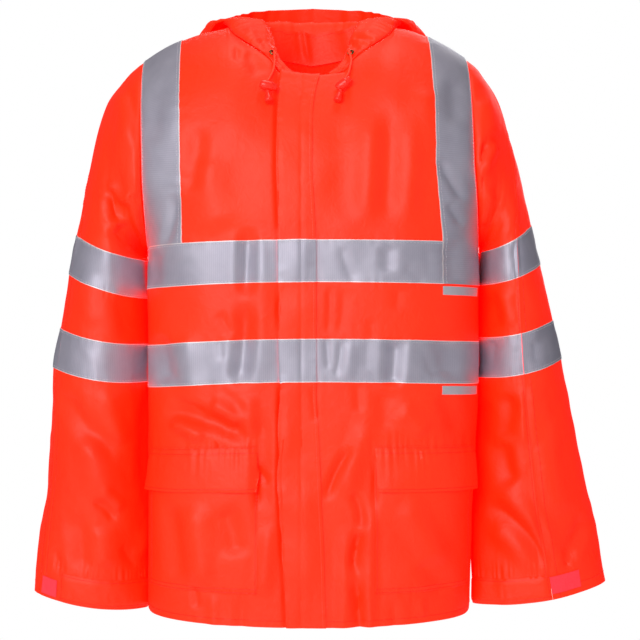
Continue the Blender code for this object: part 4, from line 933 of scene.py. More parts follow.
def folded(panel):
    """A strip carried round the first edge of the cloth under it and down its side."""
    along = panel.points[:, 1] - panel.points[:, 0]
    along /= np.linalg.norm(along, axis=-1, keepdims=True)
    edge, out = panel.points[:, 0], panel.normals[:, 0]
    corner = (out - along) / math.sqrt(2)
    points = np.concatenate([np.stack([edge - out * CLOTH, edge], axis=1), panel.points], axis=1)
    normals = np.concatenate([np.stack([-along, corner], axis=1), panel.normals], axis=1)
    return Panel(points, normals, np.concatenate([[-0.04, -0.02], panel.across]), panel.heights)


def line(panel, across=None, height=None):
    """Points and normals along one of a panel's own lines, up it or across it."""
    axis, marks, at = (1, panel.across, across) if height is None else (0, panel.heights, height)
    order = 1 if marks[-1] > marks[0] else -1
    place = float(np.interp(at, marks[::order], np.arange(len(marks))[::order]))
    low = min(int(place), len(marks) - 2)
    share = place - low
    take = [np.take(grid, low, axis) * (1 - share) + np.take(grid, low + 1, axis) * share for grid in panel[:2]]
    return take[0], take[1]


def lengths(points):
    """How far along a line each of its points lies."""
    return np.concatenate([[0], np.cumsum(np.linalg.norm(np.diff(points, axis=0), axis=1))])


def cut_map(points, width=None):
    """Each place's own place on the flat cut, in metres, from the lengths of the middle row and column."""
    rows, columns = points.shape[:2]
    u, v = np.meshgrid(lengths(points[rows // 2]), lengths(points[:, columns // 2]))
    return np.stack([u, v * (width / v.max() if width else 1.0)], axis=-1)


def make_mesh(bm, name, material, soft=True):
    """Makes a bmesh into a named object, faces pointing out, that rides with the jacket."""
    bmesh.ops.recalc_face_normals(bm, faces=bm.faces)
    mesh = bpy.data.meshes.new(name)
    bm.to_mesh(mesh)
    bm.free()
    if soft:
        mesh.shade_smooth()
        mesh.set_sharp_from_angle(angle=math.radians(62))
    mesh.materials.append(material)
    obj = bpy.data.objects.new(name, mesh)
    bpy.context.scene.collection.objects.link(obj)
    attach(obj, "root")
    return obj


def wall(name, material, outer, normals, thickness, width=None):
    """A closed wall of cloth: a grid with its outer points, and behind it the same points moved in."""
    rows, columns = outer.shape[:2]
    bm = bmesh.new()
    mark = bm.verts.layers.int.new("place")
    flat_cut = bm.loops.layers.uv.new("cut")
    bmesh.ops.create_grid(bm, x_segments=columns - 1, y_segments=rows - 1, size=0.5)
    for vertex in bm.verts:
        column = round((vertex.co.x + 0.5) * (columns - 1))
        row = round((vertex.co.y + 0.5) * (rows - 1))
        vertex[mark] = row * columns + column
    made = bmesh.ops.extrude_face_region(bm, geom=bm.faces[:], use_keep_orig=True)
    behind = {item for item in made["geom"] if isinstance(item, bmesh.types.BMVert)}
    front_points = outer.reshape(-1, 3)
    back_points = (outer - normals * thickness).reshape(-1, 3)
    for vertex in bm.verts:
        vertex.co = (back_points if vertex in behind else front_points)[vertex[mark]]
    cut = cut_map(outer, width).reshape(-1, 2)
    for face in bm.faces:
        for loop in face.loops:
            loop[flat_cut].uv = cut[loop.vert[mark]]
    obj = make_mesh(bm, name, material)
    obj.data.attributes.remove(obj.data.attributes["place"])
    return obj


def cut_piece(node_name, kind, panel, lift=0.0, thickness=None):
    """A sewn piece that stands for its node: its wall, its finish and the size it was cut to."""
    thick = thickness or {"cloth": CLOTH, "tape": TAPE, "loop": 0.0009, "label": 0.0004}[kind]
    outer = raised(panel, np.asarray(lift, float) + (0.0 if kind == "cloth" else thick))
    width = TAPE_WIDTH if kind == "tape" else None
    obj = wall(node_name + "_sewn", MATERIALS[kind], outer.points, outer.normals, thick, width)
    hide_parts(node_name)
    return outer


def stitches(name, material, rows_of_line, pitch=STITCH_PITCH):
    """Rows of thread: each stitch a short rounded length that lies along its line, half sunk in the cloth."""
    bm = bmesh.new()
    for points, normals in rows_of_line:
        places = lengths(points)
        count = int(places[-1] / pitch)
        if count < 1:
            continue
        at = (np.arange(count) + 0.5) * places[-1] / count
        ends = [
            np.stack([np.interp(at + d, places, points[:, k]) for k in range(3)], axis=-1)
            for d in (-STITCH_LENGTH / 2, 0, STITCH_LENGTH / 2)
        ]
        for start, middle, end in zip(*ends):
            axis = Vector(end - start)
            turn = Vector((0, 0, 1)).rotation_difference(axis).to_matrix().to_4x4()
            place = Matrix.Translation(Vector(middle)) @ turn
            bmesh.ops.create_cone(
                bm, cap_ends=True, segments=5, radius1=STITCH_RADIUS, radius2=STITCH_RADIUS,
                depth=axis.length, matrix=place,
            )
    obj = make_mesh(bm, name, material)
    return obj


def colour(hex_code):
    """An sRGB hex colour as linear numbers."""
    parts = [int(hex_code[k : k + 2], 16) / 255 for k in (1, 3, 5)]
    return [c / 12.92 if c <= 0.04045 else ((c + 0.055) / 1.055) ** 2.4 for c in parts] + [1.0]


def add(tree, kind, settings=None, links=None):
    """Adds a node; settings go to its own options or its sockets, links join its sockets to others."""
    made = tree.nodes.new(kind)
    for name, value in (settings or {}).items():
        if isinstance(name, str) and hasattr(made, name):
            setattr(made, name, value)
        else:
            made.inputs[name].default_value = value
    for name, source in (links or {}).items():
        tree.links.new(source, made.inputs[name])
    return made


def start_material(name, settings, painted_glow=None):
    """A named material, its nodes and its shader; the painted glow is how much red light it sends out itself, painted
    light that shines though it is no lamp.
    """
    material = bpy.data.materials.new(name)
    material.use_nodes = True
    tree = material.node_tree
    shader = tree.nodes["Principled BSDF"]
    for socket, value in settings.items():
        shader.inputs[socket].default_value = value
    if painted_glow is not None:
        # Painted light: a red glow of the material's own, as bright under any lamp as under none.
        shader.inputs["Emission Color"].default_value = PAINTED_RED_GLOW
        shader.inputs["Emission Strength"].default_value = painted_glow
        material.cycles.emission_sampling = "NONE"
    return material, tree, shader


def waves(pitch, direction="X"):
    """Settings for even waves from 0 to 1 with a pitch in metres: the wave texture has 20 / 2 pi of them a unit."""
    scale = 2 * math.pi / 20 / pitch
    return {"wave_type": "BANDS", "bands_direction": direction, "wave_profile": "SIN", "Scale": scale}


def coated_polyester():
    """Woven polyester with a thin coating, dyed fluorescent orange-red, with red light painted in as a glow: it sends
    out red of its own under any lamp, so its shadows stay bright red, and the coating's soft gloss turns what faces
    the light coral."""
    # Painted light: a red glow of 0.78 keeps every shadow on the cloth bright red.
    material, tree, shader = start_material(
        "coated woven polyester", {"Roughness": 0.54, "IOR": 1.50, "Specular IOR Level": 0.5}, painted_glow=0.78
    )
    uv = add(tree, "ShaderNodeUVMap", {"uv_map": "cut"}).outputs["UV"]
    place = add(tree, "ShaderNodeTexCoord").outputs["Object"]
    cloudy = add(tree, "ShaderNodeTexNoise", {"Scale": 9.0, "Detail": 3.0, "Roughness": 0.6}, {"Vector": place})
    shade = add(
        tree, "ShaderNodeMix", {"data_type": "RGBA", 6: colour(CLOTH_DEEP), 7: colour(CLOTH_PALE)},
        {0: cloudy.outputs["Fac"]},
    )
    tree.links.new(shade.outputs[2], shader.inputs["Base Color"])
    threads = [
        add(tree, "ShaderNodeTexWave", waves(WEAVE_PITCH, way), {"Vector": uv}).outputs["Fac"] for way in ("X", "Y")
    ]
    weave = add(tree, "ShaderNodeMath", {"operation": "MULTIPLY"}, {0: threads[0], 1: threads[1]})
    creased = add(
        tree, "ShaderNodeTexNoise", {"Scale": 95.0, "Detail": 4.0, "Roughness": 0.62, "Distortion": 0.6},
        {"Vector": place},
    )
    fine = add(tree, "ShaderNodeBump", {"Strength": 0.30, "Distance": 0.00012}, {"Height": weave.outputs[0]})
    coarse = add(
        tree, "ShaderNodeBump", {"Strength": 0.60, "Distance": 0.0012},
        {"Height": creased.outputs["Fac"], "Normal": fine.outputs["Normal"]},
    )
    tree.links.new(coarse.outputs["Normal"], shader.inputs["Normal"])
    return material


def silver_tape():
    """Glass-beaded reflective tape: a grey satin face that mirrors its surroundings softly, ribbed across, with a
    pale plain selvedge along each edge."""
    material, tree, shader = start_material("glass beaded reflective tape", {"Roughness": 0.54, "Metallic": 0.45})
    uv = add(tree, "ShaderNodeUVMap", {"uv_map": "cut"}).outputs["UV"]
    place = add(tree, "ShaderNodeTexCoord").outputs["Object"]
    parts = add(tree, "ShaderNodeSeparateXYZ", None, {0: uv})
    off_middle = add(tree, "ShaderNodeMath", {"operation": "SUBTRACT", 1: TAPE_WIDTH / 2}, {0: parts.outputs[1]})
    distance = add(tree, "ShaderNodeMath", {"operation": "ABSOLUTE"}, {0: off_middle.outputs[0]})
    selvedge = add(
        tree, "ShaderNodeMath", {"operation": "GREATER_THAN", 1: TAPE_WIDTH / 2 - SELVEDGE}, {0: distance.outputs[0]}
    )
    cloudy = add(tree, "ShaderNodeTexNoise", {"Scale": 26.0, "Detail": 4.0, "Roughness": 0.6}, {"Vector": place})
    ribs = add(tree, "ShaderNodeTexWave", waves(RIB_PITCH), {"Vector": uv})
    most = add(tree, "ShaderNodeMath", {"operation": "MULTIPLY", 1: 0.8}, {0: cloudy.outputs["Fac"]})
    rest = add(tree, "ShaderNodeMath", {"operation": "MULTIPLY", 1: 0.2}, {0: ribs.outputs["Fac"]})
    tone = add(tree, "ShaderNodeMath", {"operation": "ADD"}, {0: most.outputs[0], 1: rest.outputs[0]})
    shade = add(
        tree, "ShaderNodeMix", {"data_type": "RGBA", 6: colour("#AEAABC"), 7: colour("#D6D2E0")}, {0: tone.outputs[0]}
    )
    bordered = add(
        tree, "ShaderNodeMix", {"data_type": "RGBA", 7: colour("#F6F2F4")},
        {0: selvedge.outputs[0], 6: shade.outputs[2]},
    )
    tree.links.new(bordered.outputs[2], shader.inputs["Base Color"])
    ribbed = add(tree, "ShaderNodeBump", {"Strength": 0.20, "Distance": 0.00015}, {"Height": ribs.outputs["Fac"]})
    dull = add(
        tree, "ShaderNodeBump", {"Strength": 0.30, "Distance": 0.0006},
        {"Height": cloudy.outputs["Fac"], "Normal": ribbed.outputs["Normal"]},
    )
    tree.links.new(dull.outputs["Normal"], shader.inputs["Normal"])
    return material


def loop_pile():
    """Woven loop pile of a hook-and-loop fastener: a matt, slightly pink fuzz of small loops."""
    # Painted light: a red glow that the pile sends out itself, though it is no lamp.
    material, tree, shader = start_material(
        "woven loop pile", {"Roughness": 0.95, "Base Color": colour("#FF4A5A")}, painted_glow=0.55
    )
    place = add(tree, "ShaderNodeTexCoord").outputs["Object"]
    loops = add(tree, "ShaderNodeTexVoronoi", {"Scale": 900.0}, {"Vector": place})
    bump = add(tree, "ShaderNodeBump", {"Strength": 0.8, "Distance": 0.0004}, {"Height": loops.outputs["Distance"]})
    tree.links.new(bump.outputs["Normal"], shader.inputs["Normal"])
    return material


def woven_strip():
    """Damask-woven polyester strip, bare, with a fine satin weave."""
    material, tree, shader = start_material("woven satin strip", {"Roughness": 0.55, "Base Color": colour("#CFCBD4")})
    uv = add(tree, "ShaderNodeUVMap", {"uv_map": "cut"}).outputs["UV"]
    satin = add(tree, "ShaderNodeTexWave", waves(0.0012, "DIAGONAL"), {"Vector": uv})
    bump = add(tree, "ShaderNodeBump", {"Strength": 0.4, "Distance": 0.0001}, {"Height": satin.outputs["Fac"]})
    tree.links.new(bump.outputs["Normal"], shader.inputs["Normal"])
    return material


def burnished_brass():
    """Stamped brass, blackened and rubbed back: dark, warm and half glossy."""
    material, tree, shader = start_material("burnished brass", {"Metallic": 1.0, "Roughness": 0.34})
    place = add(tree, "ShaderNodeTexCoord").outputs["Object"]
    wear = add(tree, "ShaderNodeTexNoise", {"Scale": 700.0, "Detail": 3.0}, {"Vector": place})
    shade = add(
        tree, "ShaderNodeMix", {"data_type": "RGBA", 6: colour("#4A3826"), 7: colour("#B08D57")},
        {0: wear.outputs["Fac"]},
    )
    tree.links.new(shade.outputs[2], shader.inputs["Base Color"])
    return material


def braided_cord():
    """Braided polyester cord: small slanting strands that cross, matt."""
    # Painted light: a red glow that the cord sends out itself, though it is no lamp.
    material, tree, shader = start_material(
        "braided polyester cord", {"Roughness": 0.75, "Base Color": colour("#FF5A3C")}, painted_glow=0.6
    )
    place = add(tree, "ShaderNodeTexCoord").outputs["Object"]
    slanting = add(tree, "ShaderNodeTexWave", waves(0.0016, "DIAGONAL"), {"Vector": place})
    level = add(tree, "ShaderNodeTexWave", waves(0.0011, "Z"), {"Vector": place})
    strands = add(
        tree, "ShaderNodeMath", {"operation": "MULTIPLY"}, {0: slanting.outputs["Fac"], 1: level.outputs["Fac"]}
    )
    bump = add(tree, "ShaderNodeBump", {"Strength": 0.9, "Distance": 0.0004}, {"Height": strands.outputs[0]})
    tree.links.new(bump.outputs["Normal"], shader.inputs["Normal"])
    return material


def moulded_nylon():
    """Injection-moulded nylon, dyed to match the cloth: satin, with a faint grain from the mould."""
    # Painted light: a red glow that the nylon sends out itself, though it is no lamp.
    material, tree, shader = start_material(
        "moulded nylon", {"Roughness": 0.36, "IOR": 1.53, "Base Color": colour("#F2331F")}, painted_glow=0.35
    )
    place = add(tree, "ShaderNodeTexCoord").outputs["Object"]
    grain = add(tree, "ShaderNodeTexNoise", {"Scale": 2500.0, "Detail": 2.0}, {"Vector": place})
    bump = add(tree, "ShaderNodeBump", {"Strength": 0.25, "Distance": 0.0001}, {"Height": grain.outputs["Fac"]})
    tree.links.new(bump.outputs["Normal"], shader.inputs["Normal"])
    return material


def sewing_thread(name, hex_code, painted_glow):
    """Twisted polyester thread: fine slanting plies, a little glossier than the cloth."""
    # Painted light: the thread sends out a red glow of its own, as strong as its glow number.
    material, tree, shader = start_material(name, {"Roughness": 0.45, "Base Color": colour(hex_code)}, painted_glow=painted_glow)
    place = add(tree, "ShaderNodeTexCoord").outputs["Object"]
    plies = add(tree, "ShaderNodeTexWave", waves(0.0007, "DIAGONAL"), {"Vector": place})
    bump = add(tree, "ShaderNodeBump", {"Strength": 0.5, "Distance": 0.0001}, {"Height": plies.outputs["Fac"]})
    tree.links.new(bump.outputs["Normal"], shader.inputs["Normal"])
    return material


def stage_and_light():
    """A white room: pale floor well below, broad soft light from the front, a warmer one overhead."""
    scene = bpy.context.scene
    scene.view_settings.view_transform = "Standard"
    world = bpy.data.worlds.new("pale room")
    scene.world = world
    world.use_nodes = True
    tree = world.node_tree
    tree.nodes.clear()
    seen = add(tree, "ShaderNodeBackground", {"Color": (1.0, 1.0, 1.0, 1.0), "Strength": 1.0})
    lit = add(tree, "ShaderNodeBackground", {"Color": (0.93, 0.94, 1.0, 1.0), "Strength": ROOM_LIGHT})
    ray = add(tree, "ShaderNodeLightPath")
    mixed = add(
        tree, "ShaderNodeMixShader", None,
        {0: ray.outputs["Is Camera Ray"], 1: lit.outputs[0], 2: seen.outputs[0]},
    )
    add(tree, "ShaderNodeOutputWorld", None, {0: mixed.outputs[0]})
    for name, place, aim, size, power, tint in LAMPS:
        data = bpy.data.lights.new(name, "AREA")
        data.shape = "RECTANGLE"
        data.size, data.size_y = size
        data.energy = power
        data.color = tint
        lamp = bpy.data.objects.new(name, data)
        scene.collection.objects.link(lamp)
        lamp.location = place
        lamp.rotation_euler = (Vector(aim) - Vector(place)).to_track_quat("-Z", "Y").to_euler()
    bm = bmesh.new()
    bmesh.ops.create_circle(bm, cap_ends=True, segments=96, radius=3.0)
    bmesh.ops.translate(bm, verts=bm.verts, vec=(0, 0, FLOOR_HEIGHT))
    mesh = bpy.data.meshes.new("floor")
    bm.to_mesh(mesh)
    bm.free()
    floor = bpy.data.objects.new("floor", mesh)
    scene.collection.objects.link(floor)
    material, tree, shader = start_material("pale painted floor", {"Base Color": colour("#F4F4F4"), "Roughness": 0.8})
    mesh.materials.append(material)


def make_camera():
    """A long lens, level with the jacket's middle."""
    data = bpy.data.cameras.new("camera")
    data.lens = CAMERA_LENS
    data.sensor_width = 36.0
    data.clip_end = 20.0
    camera = bpy.data.objects.new("camera", data)
    bpy.context.scene.collection.objects.link(camera)
    camera.location = CAMERA_PLACE
    camera.rotation_euler = (math.pi / 2, 0, 0)
    bpy.context.scene.camera = camera


def front_place(x, z):
    """A point of the fronts' outer face, and its normal, at a place in the front view."""
    side = RIGHT if x < 0 else LEFT

    def surface(across, height):
        return plain_torso(side, FRONT, across, height)

    heights = np.linspace(-0.3, 0, 301)
    column = surface(np.full(heights.shape, abs(x)), heights)
    height = float(np.interp(z, column[:, 2], heights))
    u, v = np.array([abs(x)]), np.array([height])
    along = surface(u + FINE, v) - surface(u - FINE, v)
    up = surface(u, v + FINE) - surface(u, v - FINE)
    normal = side * np.cross(along, up)[0]
    return Vector(surface(u, v)[0]) - Vector((0, SEAM / 2, 0)), Vector(normal).normalized()


def smooth_route(points, count):
    """Points along one smooth curve through the route's own."""
    points = np.array([tuple(point) for point in points])
    places = lengths(points)
    at = np.linspace(0, places[-1], count)
    return np.stack([curve(at, places, points[:, k]) for k in range(3)], axis=-1)


def eyelet_place(side):
    """A place on the hood's band beside the neck, and its normal."""
    turn = np.array([side * EYELET_TURN + d for d in (0, 0.5, 0, -0.5, 0)], float)
    place = np.array([EYELET_PLACE + d for d in (0, 0, 0.01, 0, -0.01)])
    spots = hood(turn, place)
    normal = Vector(np.cross(spots[1] - spots[3], spots[2] - spots[4])).normalized()
    return Vector(spots[0]), -normal if normal.y > 0 else normal


def turned(name, material, kind, profile, centre, axis, steps=36):
    """A body turned on a lathe: its profile, as radius and height, spun once round its axis."""
    bm = bmesh.new()
    made = [bm.verts.new((radius, 0, height)) for radius, height in profile]
    edges = [bm.edges.new(pair) for pair in zip(made, made[1:] + made[:1])]
    bmesh.ops.spin(
        bm, geom=made + edges, cent=(0, 0, 0), axis=(0, 0, 1), angle=2 * math.pi, steps=steps, use_merge=True
    )
    bmesh.ops.remove_doubles(bm, verts=bm.verts, dist=1e-6)
    turn = Vector((0, 0, 1)).rotation_difference(axis).to_matrix().to_4x4()
    bmesh.ops.transform(bm, matrix=Matrix.Translation(centre) @ turn, verts=bm.verts)
    obj = make_mesh(bm, name, material)
    return obj


def make_drawcord(side):
    """One free end of the hood's cord: its eyelet, the cord, a toggle lying across it and its end piece."""
    name = SIDE_NAME[side]
    rules = CORDS[side]
    spot, normal = eyelet_place(side)
    eye = spot + normal * (EYELET_LIFT + EYELET_WIRE)
    w, r = EYELET_WIRE, EYELET_RADIUS
    flange = [(r - w, -w * 1.6), (r + w * 1.1, -w * 0.9), (r + w * 1.15, -w * 0.3), (r + w * 0.4, w * 0.75),
              (r - w * 0.2, w), (r - w * 0.8, w * 0.6), (r - w * 1.05, -w * 0.2)]
    eyelet = turned("eyelet_%s_stamped" % name, MATERIALS["brass"], "brass", flange, eye, normal)
    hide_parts("eyelet_" + name)

    point, out = front_place(*rules["toggle"])
    middle = point + out * (TOGGLE_RADIUS + TOGGLE_CLEARANCE)
    axis = Vector((1, 0, rules["lean"]))
    axis -= out * axis.dot(out)
    half, fat = TOGGLE_LENGTH / 2, TOGGLE_RADIUS
    # A barrel with a waist at each end, a sunk ring beside its push button and a hole for the cord through its top.
    profile = [(0.0015, -half), (fat * 0.62, -half), (fat * 0.80, -half * 0.93), (fat * 0.93, -half * 0.72),
               (fat, -half * 0.40), (fat, half * 0.30), (fat * 0.96, half * 0.46), (fat * 0.80, half * 0.52),
               (fat * 0.80, half * 0.60), (fat * 0.74, half * 0.66), (fat * 0.72, half * 0.90), (fat * 0.58, half),
               (0.0015, half)]
    toggle = turned("cord_toggle_%s_moulded" % name, MATERIALS["plastic"], "plastic", profile, middle, axis)
    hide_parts("cord_toggle_" + name)

    up = (Vector((0, 0, 1)) - out * out.z).normalized()
    lean = abs(rules["lean"])
    reach = TOGGLE_RADIUS * math.hypot(1, lean) + SEAM
    route = [eye + normal * (2 * EYELET_WIRE + CORD_RADIUS)]
    for x, z in rules["route"]:
        point, out = front_place(x, z)
        route.append(point + out * (CORD_RADIUS + CORD_CLEARANCE))
    route.append(middle + up * (reach + 2 * SEAM + CORD_END_SLANT * CORD_RADIUS * lean))

    below = reach + (END_RADII[1] + abs(rules["aside"])) * lean + END_LENGTH / 2 + SEAM
    centre = middle - up * below + Vector((rules["aside"], 0, 0))
    wide, slim, long = END_RADII[0], END_RADII[1], END_LENGTH / 2
    # A bell that the cord's knot sits in, with a collar at its neck.
    profile = [(0.0008, -long), (wide * 0.84, -long), (wide, -long * 0.90), (wide * 0.98, -long * 0.55),
               (wide * 0.80, -long * 0.05), (slim * 1.12, long * 0.45), (slim * 1.0, long * 0.62),
               (slim * 1.12, long * 0.72), (slim * 1.10, long * 0.93), (slim * 0.85, long), (0.0008, long)]
    end = turned("cord_end_%s_moulded" % name, MATERIALS["plastic"], "plastic", profile, centre, up)
    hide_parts("cord_end_" + name)

    points = smooth_route(route, CORD_POINTS)
    data = bpy.data.curves.new("drawcord_%s_braid" % name, "CURVE")
    data.dimensions = "3D"
    spline = data.splines.new("POLY")
    spline.points.add(len(points) - 1)
    for place, at in zip(spline.points, points):
        place.co = (*at, 1)
    data.bevel_depth = CORD_RADIUS
    data.bevel_resolution = 4
    data.use_fill_caps = True
    data.materials.append(MATERIALS["cord"])
    cord = bpy.data.objects.new("drawcord_%s_braid" % name, data)
    bpy.context.scene.collection.objects.link(cord)
    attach(cord, "root")
    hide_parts("drawcord_" + name)


def make_fronts():
    """Both fronts, kept by side."""
    fronts = {}
    for side in (RIGHT, LEFT):
        fronts[side] = torso_panel(side, FRONT)
        cut_piece("front_" + SIDE_NAME[side], "cloth", fronts[side])
    return fronts


def make_back():
    """The back: both its halves as one piece, without the second half's centre column."""
    right, left = (torso_panel(side, BACK) for side in (RIGHT, LEFT))
    back = joined(crop(flipped(right, 1), across=(-9, -1e-6)), left, 1)
    cut_piece("back", "cloth", back)
    return back


def across_front(fronts, heights, places):
    """Places on both fronts at each height, given by x, taken along each row so that they lie on its facets."""
    rows = []
    for k, height in enumerate(heights):
        row_points, row_normals = [], []
        for x in places[k]:
            panel = fronts[LEFT] if x > -0.0118 else fronts[RIGHT]
            row = int(np.argmin(np.abs(panel.heights - height)))
            at = abs(x) if panel is fronts[RIGHT] else x
            row_points.append([np.interp(at, panel.across, panel.points[row, :, j]) for j in range(3)])
            row_normals.append([np.interp(at, panel.across, panel.normals[row, :, j]) for j in range(3)])
        rows.append((row_points, row_normals))
    return np.array([r[0] for r in rows]), np.array([r[1] for r in rows])


def make_storm_flap(fronts):
    """The flap over the front opening: sewn along one edge, its free edge standing a little off the front."""
    heights = fronts[RIGHT].heights
    shares = filled((0.0, 0.02, 0.05, 0.95, 0.98, 1.0), 0.045)
    free, sewn = read(FLAP_EDGES, "free", heights), read(FLAP_EDGES, "sewn", heights)
    places = free[:, None] + (sewn - free)[:, None] * shares
    points, normals = across_front(fronts, heights, places)
    s, z = np.meshgrid(shares, heights)
    stand = read(FLAP_EDGES, "stand", heights)[:, None]
    lift = TAPE + LIFT + 0.0004 + stand * (1 - s) ** 1.5 + FLAP_BULGE * np.sin(np.pi * s) ** 0.8
    lift += flap_trough(places, z)
    lift += crumple(s * 0.05, z, 31, 0.045, 0.0005)
    ring = np.hypot(points[..., 0] - STUD_PLACE[0], points[..., 2] - STUD_PLACE[1]) / STUD_RADIUS
    lift += STUD_RISE * np.exp(-(((ring - 0.8) / 0.22) ** 2)) - STUD_RISE * 0.5 * np.exp(-((ring / 0.45) ** 2))
    lift += puckers(z, (1 - s) * 0.05, 33, 0.011, 0.010, 0.00026) + puckers(z, s * 0.05, 35, 0.021, 0.010, 0.0004)
    points = points + normals * lift[..., None]
    flap = Panel(points, normals_of(points, 1), shares, heights)
    flap = raised(flap, rolled(s * 0.05) * 0.7)
    cut_piece("storm_flap", "cloth", flap, lift=CLOTH)
    flap = raised(flap, CLOTH)
    for span, place in ((UPPER_BAND, "upper"), (LOWER_BAND, "lower")):
        band = folded(crop(flap, heights=span))
        outer = cut_piece("flap_band_" + place, "tape", band, LIFT)
        TAPE_EDGES.extend(edge_lines(outer, TAPE_INSET))
    return flap


def edge_lines(panel, inset):
    """Lines that run inside a strip's two long edges, just over its face."""
    low, high = sorted((panel.heights[0], panel.heights[-1]))
    return [line(panel, height=low + inset), line(panel, height=high - inset)]


def make_body_bands(fronts, back):
    """Two bands of tape round the body, cut where the panels meet."""
    for span, place in ((UPPER_BAND, "upper"), (LOWER_BAND, "lower")):
        for side in (RIGHT, LEFT):
            start = FLAP_FREE_EDGE - 0.006 if side == RIGHT else 0.0010
            end = BRACE_INNER if place == "upper" and side == LEFT else EDGE - BAND_END
            band = crop(fronts[side], across=(start, end), heights=span)
            name = "front_band_%s_%s" % (place, SIDE_NAME[side])
            outer = cut_piece(name, "tape", band, LIFT)
            TAPE_EDGES.extend(edge_lines(outer, TAPE_INSET))
        band = crop(back, across=(-EDGE + BAND_END, EDGE - BAND_END), heights=span)
        outer = cut_piece("back_band_" + place, "tape", band, LIFT)
        TAPE_EDGES.extend(edge_lines(outer, TAPE_INSET))


def make_brace(side, fronts, back):
    """One length of tape over the shoulder: up the front, over the seam and down the back."""
    low = ARMPIT if side == RIGHT else UPPER_BAND[0]
    front = crop(fronts[side], across=(BRACE_INNER, EDGE - BRACE_END), heights=(low, 0.0))
    behind = back if side == LEFT else flipped(back, 1)
    behind = crop(behind, across=(BRACE_INNER, EDGE - BRACE_END), heights=(ARMPIT, 0.0))
    columns = filled((BRACE_INNER, 0.168, POCKET_SIDE, EDGE - BAND_END, EDGE - BRACE_END), 0.0030)
    strips = [resampled(part, columns) for part in (front, behind)]
    over = lengthways(joined(strips[0], flipped(strips[1], 0), 0))
    outer = cut_piece(
        "brace_" + SIDE_NAME[side], "tape", over, LIFT * 1.6
    )
    TAPE_EDGES.extend(edge_lines(outer, TAPE_INSET))


def lengthways(panel):
    """A panel with its rows and columns exchanged, as tape that runs up the body is cut along its length."""
    points, normals = np.swapaxes(panel.points, 0, 1), np.swapaxes(panel.normals, 0, 1)
    return Panel(points, normals, panel.heights, panel.across)


def resampled(panel, columns):
    """A panel at other columns of its own."""
    def taken(grid):
        return np.stack(
            [np.stack([np.interp(columns, panel.across, row[:, j]) for j in range(3)], axis=-1) for row in grid]
        )
    return Panel(taken(panel.points), taken(panel.normals), columns, panel.heights)


def make_pocket(side, front):
    """A patch pocket, puffed a little, and the flap over its open top, gathered at its stitching."""
    name = SIDE_NAME[side]
    span = (POCKET_EDGE[side], POCKET_SIDE - POCKET_CORNER_INSET)
    base = crop(front, across=span, heights=(POCKET_BOTTOM, POCKET_TOP))
    u, v = np.meshgrid(
        (base.across - base.across[0]) / np.ptp(base.across), (base.heights - base.heights[0]) / np.ptp(base.heights)
    )
    puff = POCKET_PUFF * (np.sin(np.pi * u) * np.sin(np.pi * (0.12 + 0.80 * v))) ** 0.7
    edge_off = np.minimum(np.minimum(u, 1 - u) * 0.12, v * 0.158)
    rise = LIFT + CLOTH + puff * smooth_step(edge_off / 0.008) + rolled(edge_off) * 0.6
    rise += puckers(base.points[..., 0], v * 0.158, 50 + side, 0.010, 0.009, 0.0004)
    pocket = raised(base, rise)
    outer = cut_piece("pocket_" + name, "cloth", pocket)
    inset = POCKET_ROWS[0]
    POCKET_LINES.append(line(outer, across=base.across[0] + inset))
    POCKET_LINES.extend([line(outer, height=POCKET_BOTTOM + at) for at in POCKET_ROWS])
    POCKET_LINES.append(line(outer, across=base.across[-1] - inset))

    span = (POCKET_EDGE[side] - POCKET_FLAP_OVERHANG, POCKET_SIDE)
    flap = crop(front, across=span, heights=(POCKET_FLAP_BOTTOM, POCKET_FLAP_TOP))
    u, v = np.meshgrid(
        (flap.across - flap.across[0]) / np.ptp(flap.across), (flap.heights - flap.heights[0]) / np.ptp(flap.heights)
    )
    below = curve(v, [0.0, 0.30, 0.74, 1.0], [0.0064, 0.0056, 0.0036, 0.0009])
    at = flap.points[..., 0]
    gather = puckers(at, (1 - v) * 0.053, 54 + side, 0.0078, 0.030, 0.0012)
    wave = crumple(at, v * 0.05, 57 + side, 0.050, 0.0008) * (1 - v)
    edge_off = np.minimum(np.minimum(u, 1 - u) * 0.12, v * 0.053)
    flare = 0.0016 * smooth_step((u - 0.86) / 0.14) * (1 - v) ** 2
    flap = raised(flap, below + (gather + wave + flare) * smooth_step((1 - v) / 0.12) + rolled(edge_off) * 0.7
                  + pocket_trough(side, flap.across, flap.heights))
    for at in FLAP_ROWS:
        flap = raised(flap, -GROOVE * np.exp(-((flap.heights[:, None] - POCKET_FLAP_TOP - at) / 0.0013) ** 2))
    flap.points[..., 0] += side * FLAP_TAPER[side] * (1 - v) * smooth_step((0.14 - u) / 0.14)
    outer = cut_piece("pocket_flap_" + name, "cloth", flap)
    POCKET_LINES.extend([line(outer, height=POCKET_FLAP_TOP + at) for at in FLAP_ROWS])
    POCKET_LINES.append(line(outer, height=POCKET_FLAP_BOTTOM + 0.0035))


def make_labels(front):
    """A bare woven strip below each band, at the wearer's left."""
    for place, span in (("upper", UPPER_BAND), ("lower", LOWER_BAND)):
        strip = crop(front, across=(BRACE_INNER, POCKET_SIDE), heights=(span[0] - LABEL_DROP - 1e-6, span[0] - 0.0001))
        cut_piece("label_" + place, "label", strip, LIFT)


